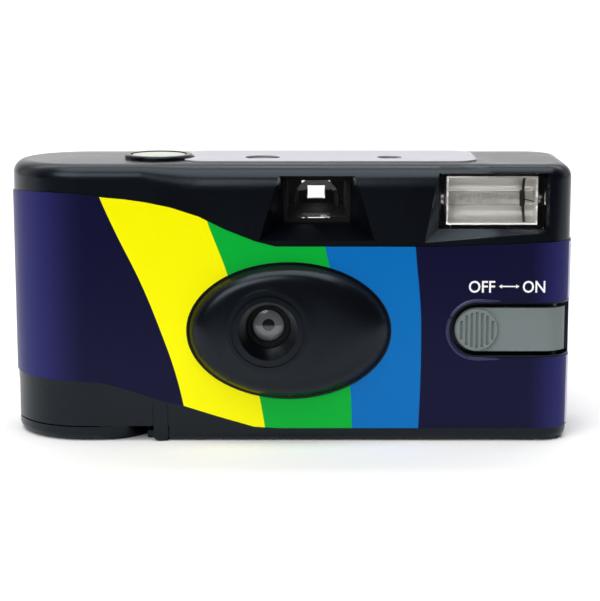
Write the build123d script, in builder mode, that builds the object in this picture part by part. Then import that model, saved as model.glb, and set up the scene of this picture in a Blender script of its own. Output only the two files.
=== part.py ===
"""A single-use 35 mm film camera with a built-in flash.

Seen from the front, X runs to the right, Y to the rear and Z up.  The origin is the
centre of the underside.  The film cartridge stands at the left under the shutter
button, the fresh film waits on a spool at the right, and the thumbwheel at the rear
winds each exposed frame back into the cartridge.
"""

import math
import os

from build123d import *

os.makedirs("parts", exist_ok=True)

# Housing
BODY_WIDTH = 120.8
BODY_HEIGHT = 60.0
BODY_DEPTH = 32.0
FRONT_DEPTH = 15.0
SEAM_FROM_REAR = 9.0
WALL = 1.5
TOP_ROUND = 3.0
BOTTOM_ROUND = 2.0
FRONT_CORNER = 6.0
REAR_CORNER = 8.0
CUT_OVERRUN = 2.0
FIT_GAP = 0.3
CLOSE_GAP = 0.15
BOND_GAP = 0.02
SHAFT_GAP = 0.06

# Sloping shoulder of the front cover, between the round end and the flash
SHOULDER_RADIUS = 5.4
SHOULDER_START_FROM_LENS = 33.0
SHOULDER_RUN = 20.0
SHOULDER_FADE = 17.0

# Lens, its oval boss and its cone
LENS_X = -4.5
LENS_Z = 25.0
BOSS_WIDTH = 43.2
BOSS_HEIGHT = 29.1
BOSS_OFFSET_X = 4.4
BOSS_DROP = 0.6
BOSS_RISE = 4.0
BOSS_FACE_RADIUS = 8.8
RING_RADIUS = 7.9
RING_GROOVE = 0.5
RING_DEPTH = 0.5
CONE_FRONT_RADIUS = 6.3
CONE_REAR_RADIUS = 4.5
LENS_RADIUS = 4.2
LENS_APERTURE = 3.3
LENS_THICKNESS = 1.4
LENS_CURVE = 12.0
LENS_SEAT_DEPTH = 0.8
RETAINER_THICKNESS = 0.6
STOP_RADIUS = 1.3
STOP_THICKNESS = 0.3

# Viewfinder
FINDER_FROM_LENS = 10.4
FINDER_FROM_TOP = 8.2
HOOD_TOP_WIDTH = 16.2
HOOD_BOTTOM_WIDTH = 24.6
HOOD_TOP_DROP = 2.3
HOOD_HEIGHT = 13.9
HOOD_DEPTH = 7.5
HOOD_REAR_WIDTH = 14.4
HOOD_REAR_HEIGHT = 10.0
HOOD_WALL = 1.2
TUNNEL_WIDTH = 12.6
TUNNEL_HEIGHT = 8.2
TUNNEL_WALL = 1.0
CRADLE_LIP = 1.4
EYEPIECE_WIDTH = 6.4
EYEPIECE_HEIGHT = 4.8
EYECUP_WIDTH = 12.0
EYECUP_HEIGHT = 8.0
EYECUP_DEPTH = 1.0
FINDER_LENS_THICKNESS = 1.3
FINDER_LENS_HOLLOW = 0.7

# Flash
FLASH_FROM_RIGHT = 17.2
FLASH_WIDTH = 22.6
FLASH_HEIGHT = 12.0
FLASH_TOP_DROP = 1.8
FLASH_POCKET_DEPTH = 1.6
FLASH_LEDGE = 2.8
FLASH_FLARE = 0.8
FLASH_LEFT_FLARE = 3.1
FLASH_WINDOW_THICKNESS = 1.2
WINDOW_CHAMFER = 0.25
REFLECTOR_WIDTH = 19.4
REFLECTOR_HEIGHT = 10.4
REFLECTOR_DEPTH = 6.2
REFLECTOR_WALL = 0.4
TUBE_RADIUS = 1.5
TUBE_LENGTH = 24.0
TUBE_SETBACK = 4.0
ELECTRODE_RADIUS = 0.45
ELECTRODE_LENGTH = 1.6

# Flash switch on the front
SWITCH_Z = 24.6
SWITCH_FROM_RIGHT = 20.2
SWITCH_HEIGHT = 9.4
SWITCH_GAP = 0.9
SWITCH_RECESS_DEPTH = 2.2
SWITCH_THICKNESS = 1.5
SWITCH_FLOOR = 1.1
SWITCH_FACE_INSET = 0.3
SWITCH_TRAVEL = 4.0
SWITCH_TAIL_ANGLE = 62.0
GRIP_RISE = 0.7
GRIP_RIB_COUNT = 7
GRIP_RIB_WIDTH = 0.55
GRIP_RIB_DEPTH = 0.45
GRIP_RIM = 0.6
STEM_WIDTH = 3.0
STEM_HEIGHT = 2.6
STEM_LIP = 0.8

# Shutter button
BUTTON_FROM_WHEEL = 15.8
BUTTON_Y = 0.4
BUTTON_RADIUS = 5.9
BUTTON_GAP = 0.25
BUTTON_RING_WIDTH = 1.3
BUTTON_RING_RISE = 0.9
BUTTON_RISE = 0.75
BUTTON_DISH = 0.5
BUTTON_FLANGE = 0.8
BUTTON_FLANGE_THICKNESS = 0.6
BUTTON_PIN_RADIUS = 1.1
BUTTON_PIN_CLEAR = 0.08
BUTTON_PIN_SHIFT_X = 2.4
BUTTON_PIN_SHIFT_Y = -0.8

# Counter window and ready light in the top
COUNTER_WINDOW_RADIUS = 3.4
COUNTER_WINDOW_FROM_LENS = -1.3
TOP_WINDOW_Y = -1.2
READY_LIGHT_RADIUS = 2.3
READY_LIGHT_FROM_LENS = 26.3
WINDOW_FLANGE = 0.7
WINDOW_FLANGE_THICKNESS = 0.6

# Labels
LABEL_THICKNESS = 0.25
LABEL_MARGIN = 0.4
LABEL_TOP_SHARES = [
    (-0.52, 0.84),
    (-0.4103, 0.873),
    (-0.3556, 0.885),
    (-0.293, 0.88),
    (-0.254, 0.869),
    (-0.2086, 0.85),
    (-0.1592, 0.818),
    (-0.1143, 0.773),
    (-0.0606, 0.73),
    (-0.0244, 0.711),
    (0.2637, 0.71),
    (0.52, 0.73),
]
LABEL_REAR_TOP_SHARES = [
    (-0.52, 0.84),
    (-0.4493, 0.79),
    (-0.3907, 0.735),
    (-0.3224, 0.717),
    (0.2637, 0.717),
    (0.52, 0.73),
]
LABEL_BASE_SHARES = [
    (0.52, 0.05),
    (-0.0195, 0.05),
    (-0.0625, 0.055),
    (-0.127, 0.093),
    (-0.1895, 0.133),
    (-0.2305, 0.152),
    (-0.2833, 0.188),
    (-0.336, 0.217),
    (-0.381, 0.223),
    (-0.52, 0.227),
]
TOP_LABEL_RIGHT_FROM_LENS = 45.0
TOP_LABEL_FRONT_INSET = 5.9
TOP_LABEL_REAR_INSET = 3.6
TOP_LABEL_CORNER = 5.0

# Film and cartridge
FILM_WIDTH = 35.0
FILM_THICKNESS = 0.2
FILM_PLANE_FROM_REAR = 3.5
FRAME_WIDTH = 36.0
FRAME_HEIGHT = 24.0
PERFORATION_PITCH = 4.75
PERFORATION_HEIGHT = 2.8
PERFORATION_WIDTH = 1.98
PERFORATION_FROM_EDGE = 3.4
PERFORATION_COUNT = 14
FILM_WRAP_ANGLE = 200
PERFORATION_FIRST = -1
CARTRIDGE_RADIUS = 12.5
CARTRIDGE_HEIGHT = 46.0
CARTRIDGE_WALL = 0.5
CARTRIDGE_CAP = 0.8
CARTRIDGE_CAP_LIP = 0.35
SPOOL_RADIUS = 5.5
SPOOL_NOSE = 3.0
SPOOL_KEY_RADIUS = 2.6
SPOOL_KEY_BAR = 1.2
SUPPLY_ROLL_RADIUS = 8.2
SUPPLY_CORE_RADIUS = 4.2
SUPPLY_FLANGE = 0.9
SUPPLY_FROM_RIGHT = 23.4

# Thumbwheel
WHEEL_RADIUS = 14.0
WHEEL_THICKNESS = 5.0
WHEEL_FROM_TOP = 4.2
WHEEL_TOOTH_COUNT = 48
WHEEL_TOOTH_DEPTH = 0.7
WHEEL_RIM = 2.4
WHEEL_WEB = 1.6
WHEEL_HUB_RADIUS = 4.6
WHEEL_PIVOT_RADIUS = 2.0
THUMB_NOTCH_WIDTH = 20.0
THUMB_NOTCH_DEPTH = 5.2
THUMB_NOTCH_MARGIN = 0.7
THUMB_NOTCH_FLARE = 1.7
THUMB_NOTCH_WALL = 1.2

# Chassis
CHASSIS_WALL = 1.2
CHAMBER_GAP = 0.5
DECK_FROM_FILM = 2.7
DECK_THICKNESS = 1.4
CHAMBER_ROOF = 1.5
CHAMBER_TOP_GAP = 0.3
CARTRIDGE_LIFT = 2.0
LATCH_NOTCH = 4.0
GATE_THICKNESS = 1.4
RAIL_WIDTH = 1.2
TUNNEL_FRONT_WIDTH = 13.0
TUNNEL_FRONT_HEIGHT = 11.0
SHUTTER_WALL_FROM_FRONT = 5.6
CHASSIS_FLOOR_THICKNESS = 1.2
CHASSIS_FLOOR_SHARE = 0.5
POST_RADIUS = 1.6

# Film door under the cartridge
DOOR_HEIGHT = 3.4
DOOR_THICKNESS = 1.3
DOOR_RIM = 1.2
HINGE_FROM_END = 16.6
HINGE_Z = 1.7
HINGE_PIN_RADIUS = 0.8
HINGE_KNUCKLE_RADIUS = 1.5
HINGE_LUG_WIDTH = 3.2
HINGE_LUG_HEIGHT = 8.4
HINGE_LUG_DEPTH = 2.6
HINGE_LUG_ROUND = 1.0
HINGE_PIN_LENGTH = 2.4
DOOR_LATCH_WIDTH = 5.0
DOOR_LATCH_HEIGHT = 3.0
DOOR_LATCH_INSET = 0.9
DOOR_LATCH_THICKNESS = 0.9
SEAM_GROOVE = 0.35
SEAM_LINE = 0.3
LATCH_WINDOW_WIDTH = 3.4
LATCH_WINDOW_LOW = 5.2
LATCH_WINDOW_HEIGHT = 2.4
LATCH_STEP_DEPTH = 0.6
LATCH_STEP_HALF_WIDTH = 8.5
LATCH_STEP_TOP = 11.4
DOOR_TONGUE_SHARE = 0.56

# Battery, board and contacts
BATTERY_RADIUS = 5.25
BATTERY_LENGTH = 44.5
BATTERY_NUB = 1.0
BATTERY_NUB_RADIUS = 1.9
BATTERY_FROM_WHEEL = 42.65
BATTERY_Y = -7.9
BATTERY_Z = 8.2
CONTACT_THICKNESS = 0.3
CONTACT_HEIGHT = 9.0
BOARD_Y = -9.6
BOARD_THICKNESS = 1.2
BOARD_FROM_LENS = 15.1
BOARD_FROM_RIGHT = 5.2
BOARD_BELOW_LENS = 10.0
BOARD_FROM_DECK = 2.6
BOARD_POST_SHARES = [0.17, 0.5]
CAPACITOR_RADIUS = 4.6
CAPACITOR_FROM_RIGHT = 8.0
CAPACITOR_LENGTH = 28.0
CAPACITOR_DROP_SHARE = 0.32
LEAF_WIDTH = 2.0
LEAF_THICKNESS = 0.25
LEAF_LENGTH = 8.0
LEAF_RISE = 0.9
TRANSFORMER_WIDTH = 9.0
TRANSFORMER_HEIGHT = 9.0
TRANSFORMER_DEPTH = 8.0
TRANSFORMER_FROM_LENS = 21.0
TRANSFORMER_ABOVE_LENS = 6.5

# Release, shutter, metering and counter
SHAFT_RADIUS = 1.5
LEVER_ARM = 4.8
LEVER_LEFT = 6.2
LEVER_RIGHT = 6.6
LEVER_WIDTH = 3.2
LEVER_THICKNESS = 1.4
LEVER_FROM_DECK = 2.3
LEVER_PIVOT_RADIUS = 0.9
SHUTTER_WALL_WIDTH = 28.0
SHUTTER_SPACE = 0.8
SHUTTER_BLADE_THICKNESS = 0.4
SHUTTER_FROM_LENS = 8.0
SHUTTER_ABOVE_LENS = 6.0
SHUTTER_PIN_RADIUS = 0.8
SHUTTER_HOLE_RADIUS = 2.4
BAFFLE_COUNT = 3
BAFFLE_LIP = 0.8
BAFFLE_THICKNESS = 0.5
HOLDER_POST_SHARES = [(-0.42, -0.3), (-0.42, 0.36), (0.42, -0.3), (0.42, 0.36)]
BLADE_TAIL_X = -2.5
BLADE_TAIL_Z = 6.0
LENS_CLEAR = 0.2
HOLDER_THICKNESS = 1.0
HOLDER_WIDTH_SHARE = 0.96
HOLDER_HEIGHT_SHARE = 0.8
HOLDER_SHIFT_SHARE = 0.03
LENS_HOLLOW = 0.4
FINDER_CURVE_SHARE = 1.3
LAMP_FROM_TOP = 4.5
SPROCKET_FROM_WHEEL = 20.2
SPROCKET_FILM_GAP = 0.05
SPROCKET_RADIUS = 6.9
SPROCKET_ROOT = 5.95
SPROCKET_THICKNESS = 1.6
SPROCKET_TEETH = 8
SPROCKET_TOOTH_WIDTH = 1.4
CAM_RADIUS = 3.2
CAM_THICKNESS = 1.6
DIAL_RADIUS = 8.4
DIAL_THICKNESS = 1.0
DIAL_FROM_TOP = 4.0
DIAL_HUB = 2.0
BUTTON_SPRING_RADIUS = 1.8
BUTTON_SPRING_WIRE = 0.18
BUTTON_SPRING_TURNS = 5
SPRING_SEAT_FROM_LEVER = 3.5
BUTTON_RECESS_RADIUS = 5.0
BUTTON_RECESS_DEPTH = 1.6
BUTTON_DISH_CURVE = 36.0
DIAL_Y = 3.4
DIAL_SHIFT = 4.6
DIAL_TEETH = 30
PAWL_REACH = 6.0
PAWL_Y = -5.6
PAWL_THICKNESS = 0.3
PAWL_HEIGHT = 3.0
MOUTH_REACH = 10.5
FOOT_SHARES = [-0.2, 0.2]

# Snap hooks and film ribs inside the rear cover
HOOK_WIDTH = 6.0
HOOK_THICKNESS = 1.0
HOOK_REACH = 4.0
HOOK_SHARES = [-0.14, 0.02, 0.4]
RIB_THICKNESS = 1.0
RIB_FROM_FILM = 0.35
RIB_SHARES = [-0.42, -0.14, 0.14, 0.42]
RIB_LENGTH_SHARE = 0.88

# Places that follow from the sizes above
LEFT_X = -BODY_WIDTH / 2
RIGHT_X = BODY_WIDTH / 2
FRONT_Y = -FRONT_DEPTH
REAR_Y = FRONT_Y + BODY_DEPTH
SEAM_Y = REAR_Y - SEAM_FROM_REAR
END_RADIUS = BODY_DEPTH / 2
END_X = LEFT_X + END_RADIUS
END_Y = (FRONT_Y + REAR_Y) / 2
FILM_Y = REAR_Y - FILM_PLANE_FROM_REAR
FINDER_X = LENS_X + FINDER_FROM_LENS
FINDER_Z = BODY_HEIGHT - FINDER_FROM_TOP
FLASH_X = RIGHT_X - FLASH_FROM_RIGHT
FLASH_TOP = BODY_HEIGHT - FLASH_TOP_DROP
FLASH_BOTTOM = FLASH_TOP - FLASH_HEIGHT
FLASH_Z = (FLASH_TOP + FLASH_BOTTOM) / 2
FLASH_LEFT_X = FLASH_X - FLASH_WIDTH / 2 - FLASH_FLARE - WALL
SWITCH_X = RIGHT_X - SWITCH_FROM_RIGHT
BUTTON_X = END_X + BUTTON_FROM_WHEEL
COUNTER_WINDOW_X = LENS_X + COUNTER_WINDOW_FROM_LENS
READY_LIGHT_X = LENS_X + READY_LIGHT_FROM_LENS
BOSS_X = LENS_X + BOSS_OFFSET_X
BOSS_Z = LENS_Z - BOSS_DROP
BOSS_FRONT_Y = FRONT_Y - BOSS_RISE
WHEEL_TOP_Z = BODY_HEIGHT - WHEEL_FROM_TOP
WHEEL_BOTTOM_Z = WHEEL_TOP_Z - WHEEL_THICKNESS
HINGE_X = END_X + HINGE_FROM_END
SUPPLY_X = RIGHT_X - SUPPLY_FROM_RIGHT
SUPPLY_Y = FILM_Y - SUPPLY_ROLL_RADIUS
HOOD_TOP_Z = BODY_HEIGHT - HOOD_TOP_DROP
HOOD_BOTTOM_Z = HOOD_TOP_Z - HOOD_HEIGHT
HOOD_REAR_Y = FRONT_Y + HOOD_DEPTH
FILM_LOW_Z = LENS_Z - FILM_WIDTH / 2
FILM_HIGH_Z = LENS_Z + FILM_WIDTH / 2
DECK_Z = FILM_HIGH_Z + DECK_FROM_FILM
DECK_TOP_Z = DECK_Z + DECK_THICKNESS
FLOOR_TOP_Z = WALL + (FILM_LOW_Z - WALL) * CHASSIS_FLOOR_SHARE
LEVER_Z = DECK_TOP_Z + LEVER_FROM_DECK
SPRING_SEAT_Z = LEVER_Z + SPRING_SEAT_FROM_LEVER
SPROCKET_X = END_X + SPROCKET_FROM_WHEEL
SPROCKET_Y = FILM_Y - SPROCKET_RADIUS - SPROCKET_FILM_GAP
SPROCKET_Z = FILM_HIGH_Z - PERFORATION_FROM_EDGE
DIAL_Z = BODY_HEIGHT - DIAL_FROM_TOP
LAMP_TOP_Z = BODY_HEIGHT - LAMP_FROM_TOP
BATTERY_X = END_X + BATTERY_FROM_WHEEL
BOARD_LEFT_X = LENS_X + BOARD_FROM_LENS
BOARD_RIGHT_X = RIGHT_X - BOARD_FROM_RIGHT
BOARD_LOW_Z = LENS_Z - BOARD_BELOW_LENS
BOARD_HIGH_Z = DECK_Z - BOARD_FROM_DECK
CAPACITOR_X = RIGHT_X - CAPACITOR_FROM_RIGHT
TRANSFORMER_X = LENS_X + TRANSFORMER_FROM_LENS
TRANSFORMER_Z = LENS_Z + TRANSFORMER_ABOVE_LENS
SHUTTER_X = LENS_X + SHUTTER_FROM_LENS
SHUTTER_Z = LENS_Z + SHUTTER_ABOVE_LENS


def front_plane(y):
    """A plane across the camera at a depth, with its normal towards the front."""
    return Plane.XZ.offset(-y)


def body_plan(inset):
    """The outline seen from above: a half-round left end and two rounded corners."""
    front, rear, right = FRONT_Y + inset, REAR_Y - inset, RIGHT_X - inset
    front_corner = (RIGHT_X - FRONT_CORNER, FRONT_Y + FRONT_CORNER)
    rear_corner = (RIGHT_X - REAR_CORNER, REAR_Y - REAR_CORNER)
    with BuildSketch() as plan:
        with BuildLine():
            Line((END_X, front), (front_corner[0], front))
            CenterArc(front_corner, FRONT_CORNER - inset, -90, 90)
            Line((right, front_corner[1]), (right, rear_corner[1]))
            CenterArc(rear_corner, REAR_CORNER - inset, 0, 90)
            Line((rear_corner[0], rear), (END_X, rear))
            CenterArc((END_X, END_Y), END_RADIUS - inset, 90, 180)
        make_face()
    return plan.sketch


def plan_block(inset, low, high):
    """The body outline as a straight block between two heights."""
    plan = body_plan(inset)
    with BuildPart() as block:
        with BuildSketch(Plane.XY.offset(low)):
            add(plan)
        extrude(amount=high - low)
    return block.part


def corner_sketch(radius, inset):
    """The region outside a quarter circle at the front top edge, in depth and height."""
    centre_y, centre_z = FRONT_Y + radius, BODY_HEIGHT - radius
    arc_radius = radius - inset
    outside_y = FRONT_Y - CUT_OVERRUN
    outside_z = BODY_HEIGHT + CUT_OVERRUN
    with BuildSketch() as section:
        with BuildLine():
            CenterArc((centre_y, centre_z), arc_radius, 90, 90)
            Polyline(
                (centre_y - arc_radius, centre_z),
                (outside_y, centre_z),
                (outside_y, outside_z),
                (centre_y, outside_z),
                (centre_y, centre_z + arc_radius),
            )
        make_face()
    return section.sketch


def blend_stations(start, run, first, last):
    """Places and radii along a blend that starts and ends gently."""
    return [
        (start + run * place, first + (last - first) * share)
        for place, share in ((0, 0), (0.35, 0.3), (0.65, 0.75), (1, 1))
    ]


def shoulder_cutter(inset):
    """What the shoulder takes off the block: a corner outside a radius that grows after the
    round end and shrinks again over the flash."""
    least = TOP_ROUND * 0.75
    start = LENS_X - SHOULDER_START_FROM_LENS
    full = start + SHOULDER_RUN
    fade = FLASH_X - FLASH_WIDTH / 2
    blends = (
        blend_stations(start, SHOULDER_RUN, least, SHOULDER_RADIUS),
        blend_stations(fade, SHOULDER_FADE, SHOULDER_RADIUS, least),
    )
    with BuildPart() as cutter:
        for stations in blends:
            for x, radius in stations:
                with BuildSketch(Plane.YZ.offset(x)):
                    add(corner_sketch(radius, inset))
            loft()
        with BuildSketch(Plane.YZ.offset(full)):
            add(corner_sketch(SHOULDER_RADIUS, inset))
        extrude(amount=fade - full)
    return cutter.part


def housing_block(inset):
    """The whole body as a solid with rounded edges and the sloping shoulder."""
    block = plan_block(inset, inset, BODY_HEIGHT - inset)
    cutter = shoulder_cutter(inset)
    with BuildPart() as housing:
        add(block)
        fillet(housing.edges().group_by(Axis.Z)[-1], TOP_ROUND - inset)
        fillet(housing.edges().group_by(Axis.Z)[0], BOTTOM_ROUND - inset)
        add(cutter, mode=Mode.SUBTRACT)
    return housing.part


def boss_form(inset):
    """The oval lens boss: ellipses that shrink and shift towards the lens as they rise."""
    rise_shares = [0, 0.62, 0.92, 1]
    shrink_shares = [0, 0.2, 0.55, 1]
    half_width, half_height = BOSS_WIDTH / 2, BOSS_HEIGHT / 2
    with BuildPart() as form:
        with BuildSketch(front_plane(FRONT_Y + WALL + inset)):
            with Locations((BOSS_X, BOSS_Z)):
                Ellipse(half_width - inset, half_height - inset)
        extrude(amount=WALL)
        for rise, shrink in zip(rise_shares, shrink_shares):
            with BuildSketch(front_plane(FRONT_Y - BOSS_RISE * rise + inset)):
                with Locations((BOSS_X - BOSS_OFFSET_X * shrink, BOSS_Z + BOSS_DROP * shrink)):
                    Ellipse(
                        half_width - (half_width - BOSS_FACE_RADIUS) * shrink - inset,
                        half_height - (half_height - BOSS_FACE_RADIUS) * shrink - inset,
                    )
        loft()
    return form.part


def y_cylinder(x, z, radius, front, rear):
    """A round bar along the depth."""
    with BuildPart() as bar:
        with BuildSketch(front_plane(rear)):
            with Locations((x, z)):
                Circle(radius)
        extrude(amount=rear - front)
    return bar.part


def z_cylinder(x, y, radius, low, high):
    """A round bar along the height."""
    with BuildPart() as bar:
        with BuildSketch(Plane.XY.offset(low)):
            with Locations((x, y)):
                Circle(radius)
        extrude(amount=high - low)
    return bar.part


def slab(x_range, y_range, z_range):
    """A block between two corners."""
    with BuildPart() as block:
        with BuildSketch(Plane.XY.offset(z_range[0])):
            with Locations(((x_range[0] + x_range[1]) / 2, (y_range[0] + y_range[1]) / 2)):
                Rectangle(x_range[1] - x_range[0], y_range[1] - y_range[0])
        extrude(amount=z_range[1] - z_range[0])
    return block.part


def funnel(front_points, front_y, rear_points, rear_y):
    """A four-sided pocket that narrows from its front outline to its rear one."""
    with BuildPart() as pocket:
        with BuildSketch(front_plane(front_y)):
            Polygon(*front_points, align=None)
        with BuildSketch(front_plane(rear_y)):
            Polygon(*rear_points, align=None)
        loft(ruled=True)
    return pocket.part


def hood_outline(grow):
    """The viewfinder hood's mouth, wider at the bottom than at the top."""
    top, bottom = HOOD_TOP_WIDTH / 2 + grow, HOOD_BOTTOM_WIDTH / 2 + grow
    return [
        (FINDER_X - bottom, HOOD_BOTTOM_Z - grow),
        (FINDER_X + bottom, HOOD_BOTTOM_Z - grow),
        (FINDER_X + top, HOOD_TOP_Z),
        (FINDER_X - top, HOOD_TOP_Z),
    ]


def rectangle_points(x, z, width, height, grow):
    """Corners of an upright rectangle, in the order that a funnel needs."""
    half_width, half_height = width / 2 + grow, height / 2 + grow
    return [
        (x - half_width, z - half_height),
        (x + half_width, z - half_height),
        (x + half_width, z + half_height),
        (x - half_width, z + half_height),
    ]


def flash_mouth(grow):
    """The flash pocket's mouth: its left side leans out and its ledge falls towards the left."""
    left, right = FLASH_X - FLASH_WIDTH / 2 - grow, FLASH_X + FLASH_WIDTH / 2 + grow
    return [
        (left - FLASH_LEFT_FLARE, FLASH_BOTTOM - FLASH_LEDGE - grow),
        (right + FLASH_FLARE, FLASH_BOTTOM - FLASH_LEDGE * 0.2 - grow),
        (right + FLASH_FLARE, FLASH_TOP),
        (left - FLASH_FLARE / 2, FLASH_TOP),
    ]


def switch_slot(grow, low_y, high_y):
    """The switch's track: round at its left end, running out at the right side."""
    half_height = SWITCH_HEIGHT / 2 + grow
    end = RIGHT_X + SWITCH_TRAVEL
    with BuildPart() as track:
        with BuildSketch(front_plane(high_y)):
            with Locations((SWITCH_X, SWITCH_Z)):
                Circle(half_height)
            with Locations(((SWITCH_X + end) / 2, SWITCH_Z)):
                Rectangle(end - SWITCH_X, 2 * half_height)
        extrude(amount=high_y - low_y)
    return track.part


outer_block = housing_block(0)
inner_block = housing_block(WALL)
boss_outer = boss_form(0)
boss_inner = boss_form(WALL)
slot_outer = switch_slot(SWITCH_GAP, FRONT_Y - CUT_OVERRUN, FRONT_Y + FRONT_CORNER)
slot_floor = switch_slot(SWITCH_GAP + WALL, FRONT_Y, FRONT_Y + FRONT_CORNER + WALL)
slot_shallow = plan_block(SWITCH_RECESS_DEPTH, 0, BODY_HEIGHT)
slot_deep = plan_block(SWITCH_RECESS_DEPTH + SWITCH_FLOOR, 0, BODY_HEIGHT)
boss_room = boss_inner - y_cylinder(
    LENS_X, LENS_Z, CONE_FRONT_RADIUS + WALL, BOSS_FRONT_Y, FRONT_Y + 2 * WALL
)
finder_rear = rectangle_points(FINDER_X, FINDER_Z, HOOD_REAR_WIDTH, HOOD_REAR_HEIGHT, 0)
finder_rear_wall = rectangle_points(
    FINDER_X, FINDER_Z, HOOD_REAR_WIDTH, HOOD_REAR_HEIGHT, HOOD_WALL
)
hood_hollow = funnel(hood_outline(0), FRONT_Y - CUT_OVERRUN * 0.01, finder_rear, HOOD_REAR_Y)
hood_wall = funnel(hood_outline(HOOD_WALL), FRONT_Y, finder_rear_wall, HOOD_REAR_Y)
hood_wall = hood_wall & outer_block
flash_seat_y = FRONT_Y + FLASH_POCKET_DEPTH + FLASH_WINDOW_THICKNESS
flash_window_y = FRONT_Y + FLASH_POCKET_DEPTH
flash_hollow = funnel(
    flash_mouth(0),
    FRONT_Y - CUT_OVERRUN * 0.01,
    rectangle_points(FLASH_X, FLASH_Z, FLASH_WIDTH, FLASH_HEIGHT, 0),
    flash_window_y,
)
flash_wall = funnel(
    flash_mouth(WALL),
    FRONT_Y,
    rectangle_points(FLASH_X, FLASH_Z, FLASH_WIDTH, FLASH_HEIGHT, WALL),
    flash_window_y,
)
flash_wall = flash_wall & outer_block
flash_through = slab(
    (FLASH_X - FLASH_WIDTH / 2, FLASH_X + FLASH_WIDTH / 2),
    (flash_window_y - BOND_GAP, FRONT_Y + FRONT_CORNER),
    (FLASH_BOTTOM, FLASH_TOP),
)
button_ring_radius = BUTTON_RADIUS + BUTTON_GAP + BUTTON_RING_WIDTH
top_inside = BODY_HEIGHT - WALL
door_room = slab(
    (LEFT_X - CUT_OVERRUN, HINGE_X + HINGE_KNUCKLE_RADIUS + FIT_GAP),
    (FRONT_Y - CUT_OVERRUN, REAR_Y + CUT_OVERRUN),
    (-CUT_OVERRUN, DOOR_HEIGHT),
)


# Front cover: moulded ABS shell with the lens boss, finder hood and flash pocket
flash_collar = slab(
    (FLASH_X - FLASH_WIDTH / 2 - WALL, FLASH_X + FLASH_WIDTH / 2 + WALL),
    (FRONT_Y + WALL, flash_seat_y),
    (FLASH_BOTTOM - WALL, FLASH_TOP + CUT_OVERRUN),
) & outer_block
track_cut = slot_outer - slot_shallow
track_lining = (slot_floor & outer_block) - slot_deep
stem_start = SWITCH_X + SWITCH_HEIGHT / 2 - STEM_WIDTH / 2
stem_slot = slab(
    (stem_start - FIT_GAP, stem_start + STEM_WIDTH + SWITCH_TRAVEL + FIT_GAP),
    (FRONT_Y, FRONT_Y + FRONT_CORNER),
    (SWITCH_Z - STEM_HEIGHT / 2 - FIT_GAP, SWITCH_Z + STEM_HEIGHT / 2 + FIT_GAP),
)
lug_left = HINGE_X - HINGE_LUG_WIDTH / 2
lug_right = HINGE_X + HINGE_LUG_WIDTH / 2
lug_base = HINGE_Z - HINGE_KNUCKLE_RADIUS


def hinge_lug(front, rear):
    """A hinge lug whose lower corners are rounded so that the door can turn past it."""
    with BuildPart() as lug:
        with BuildSketch(front_plane(rear)):
            with Locations((HINGE_X, (lug_base + HINGE_LUG_HEIGHT) / 2)):
                Rectangle(HINGE_LUG_WIDTH, HINGE_LUG_HEIGHT - lug_base)
        extrude(amount=rear - front)
        fillet(lug.edges().filter_by(Axis.Y).group_by(Axis.Z)[0], HINGE_LUG_ROUND)
    return lug.part


front_lug = hinge_lug(FRONT_Y, FRONT_Y + HINGE_LUG_DEPTH)
front_hinge_pin = y_cylinder(
    HINGE_X,
    HINGE_Z,
    HINGE_PIN_RADIUS,
    FRONT_Y + HINGE_LUG_DEPTH,
    FRONT_Y + HINGE_LUG_DEPTH + HINGE_PIN_LENGTH,
)
window_holes = [
    z_cylinder(x, TOP_WINDOW_Y, radius, top_inside - CUT_OVERRUN, BODY_HEIGHT + CUT_OVERRUN)
    for x, radius in (
        (COUNTER_WINDOW_X, COUNTER_WINDOW_RADIUS),
        (READY_LIGHT_X, READY_LIGHT_RADIUS),
    )
]
seam_ring = (outer_block - housing_block(SEAM_GROOVE)) & slab(
    (LEFT_X, RIGHT_X), (SEAM_Y, SEAM_Y + SEAM_LINE), (0, BODY_HEIGHT)
)
latch_window = slab(
    (LEFT_X - CUT_OVERRUN, LEFT_X + WALL + CUT_OVERRUN / 2),
    (END_Y - LATCH_WINDOW_WIDTH / 2, END_Y + LATCH_WINDOW_WIDTH / 2),
    (LATCH_WINDOW_LOW, LATCH_WINDOW_LOW + LATCH_WINDOW_HEIGHT),
)
latch_step = slab(
    (LEFT_X - CUT_OVERRUN, LEFT_X + LATCH_STEP_DEPTH),
    (END_Y - LATCH_STEP_HALF_WIDTH, END_Y + LATCH_STEP_HALF_WIDTH),
    (-CUT_OVERRUN, LATCH_STEP_TOP),
)
with BuildPart() as lens_cone:
    with BuildSketch(front_plane(BOSS_FRONT_Y)):
        with Locations((LENS_X, LENS_Z)):
            Circle(CONE_FRONT_RADIUS)
    with BuildSketch(front_plane(FRONT_Y + WALL)):
        with Locations((LENS_X, LENS_Z)):
            Circle(CONE_REAR_RADIUS)
    loft()

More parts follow.
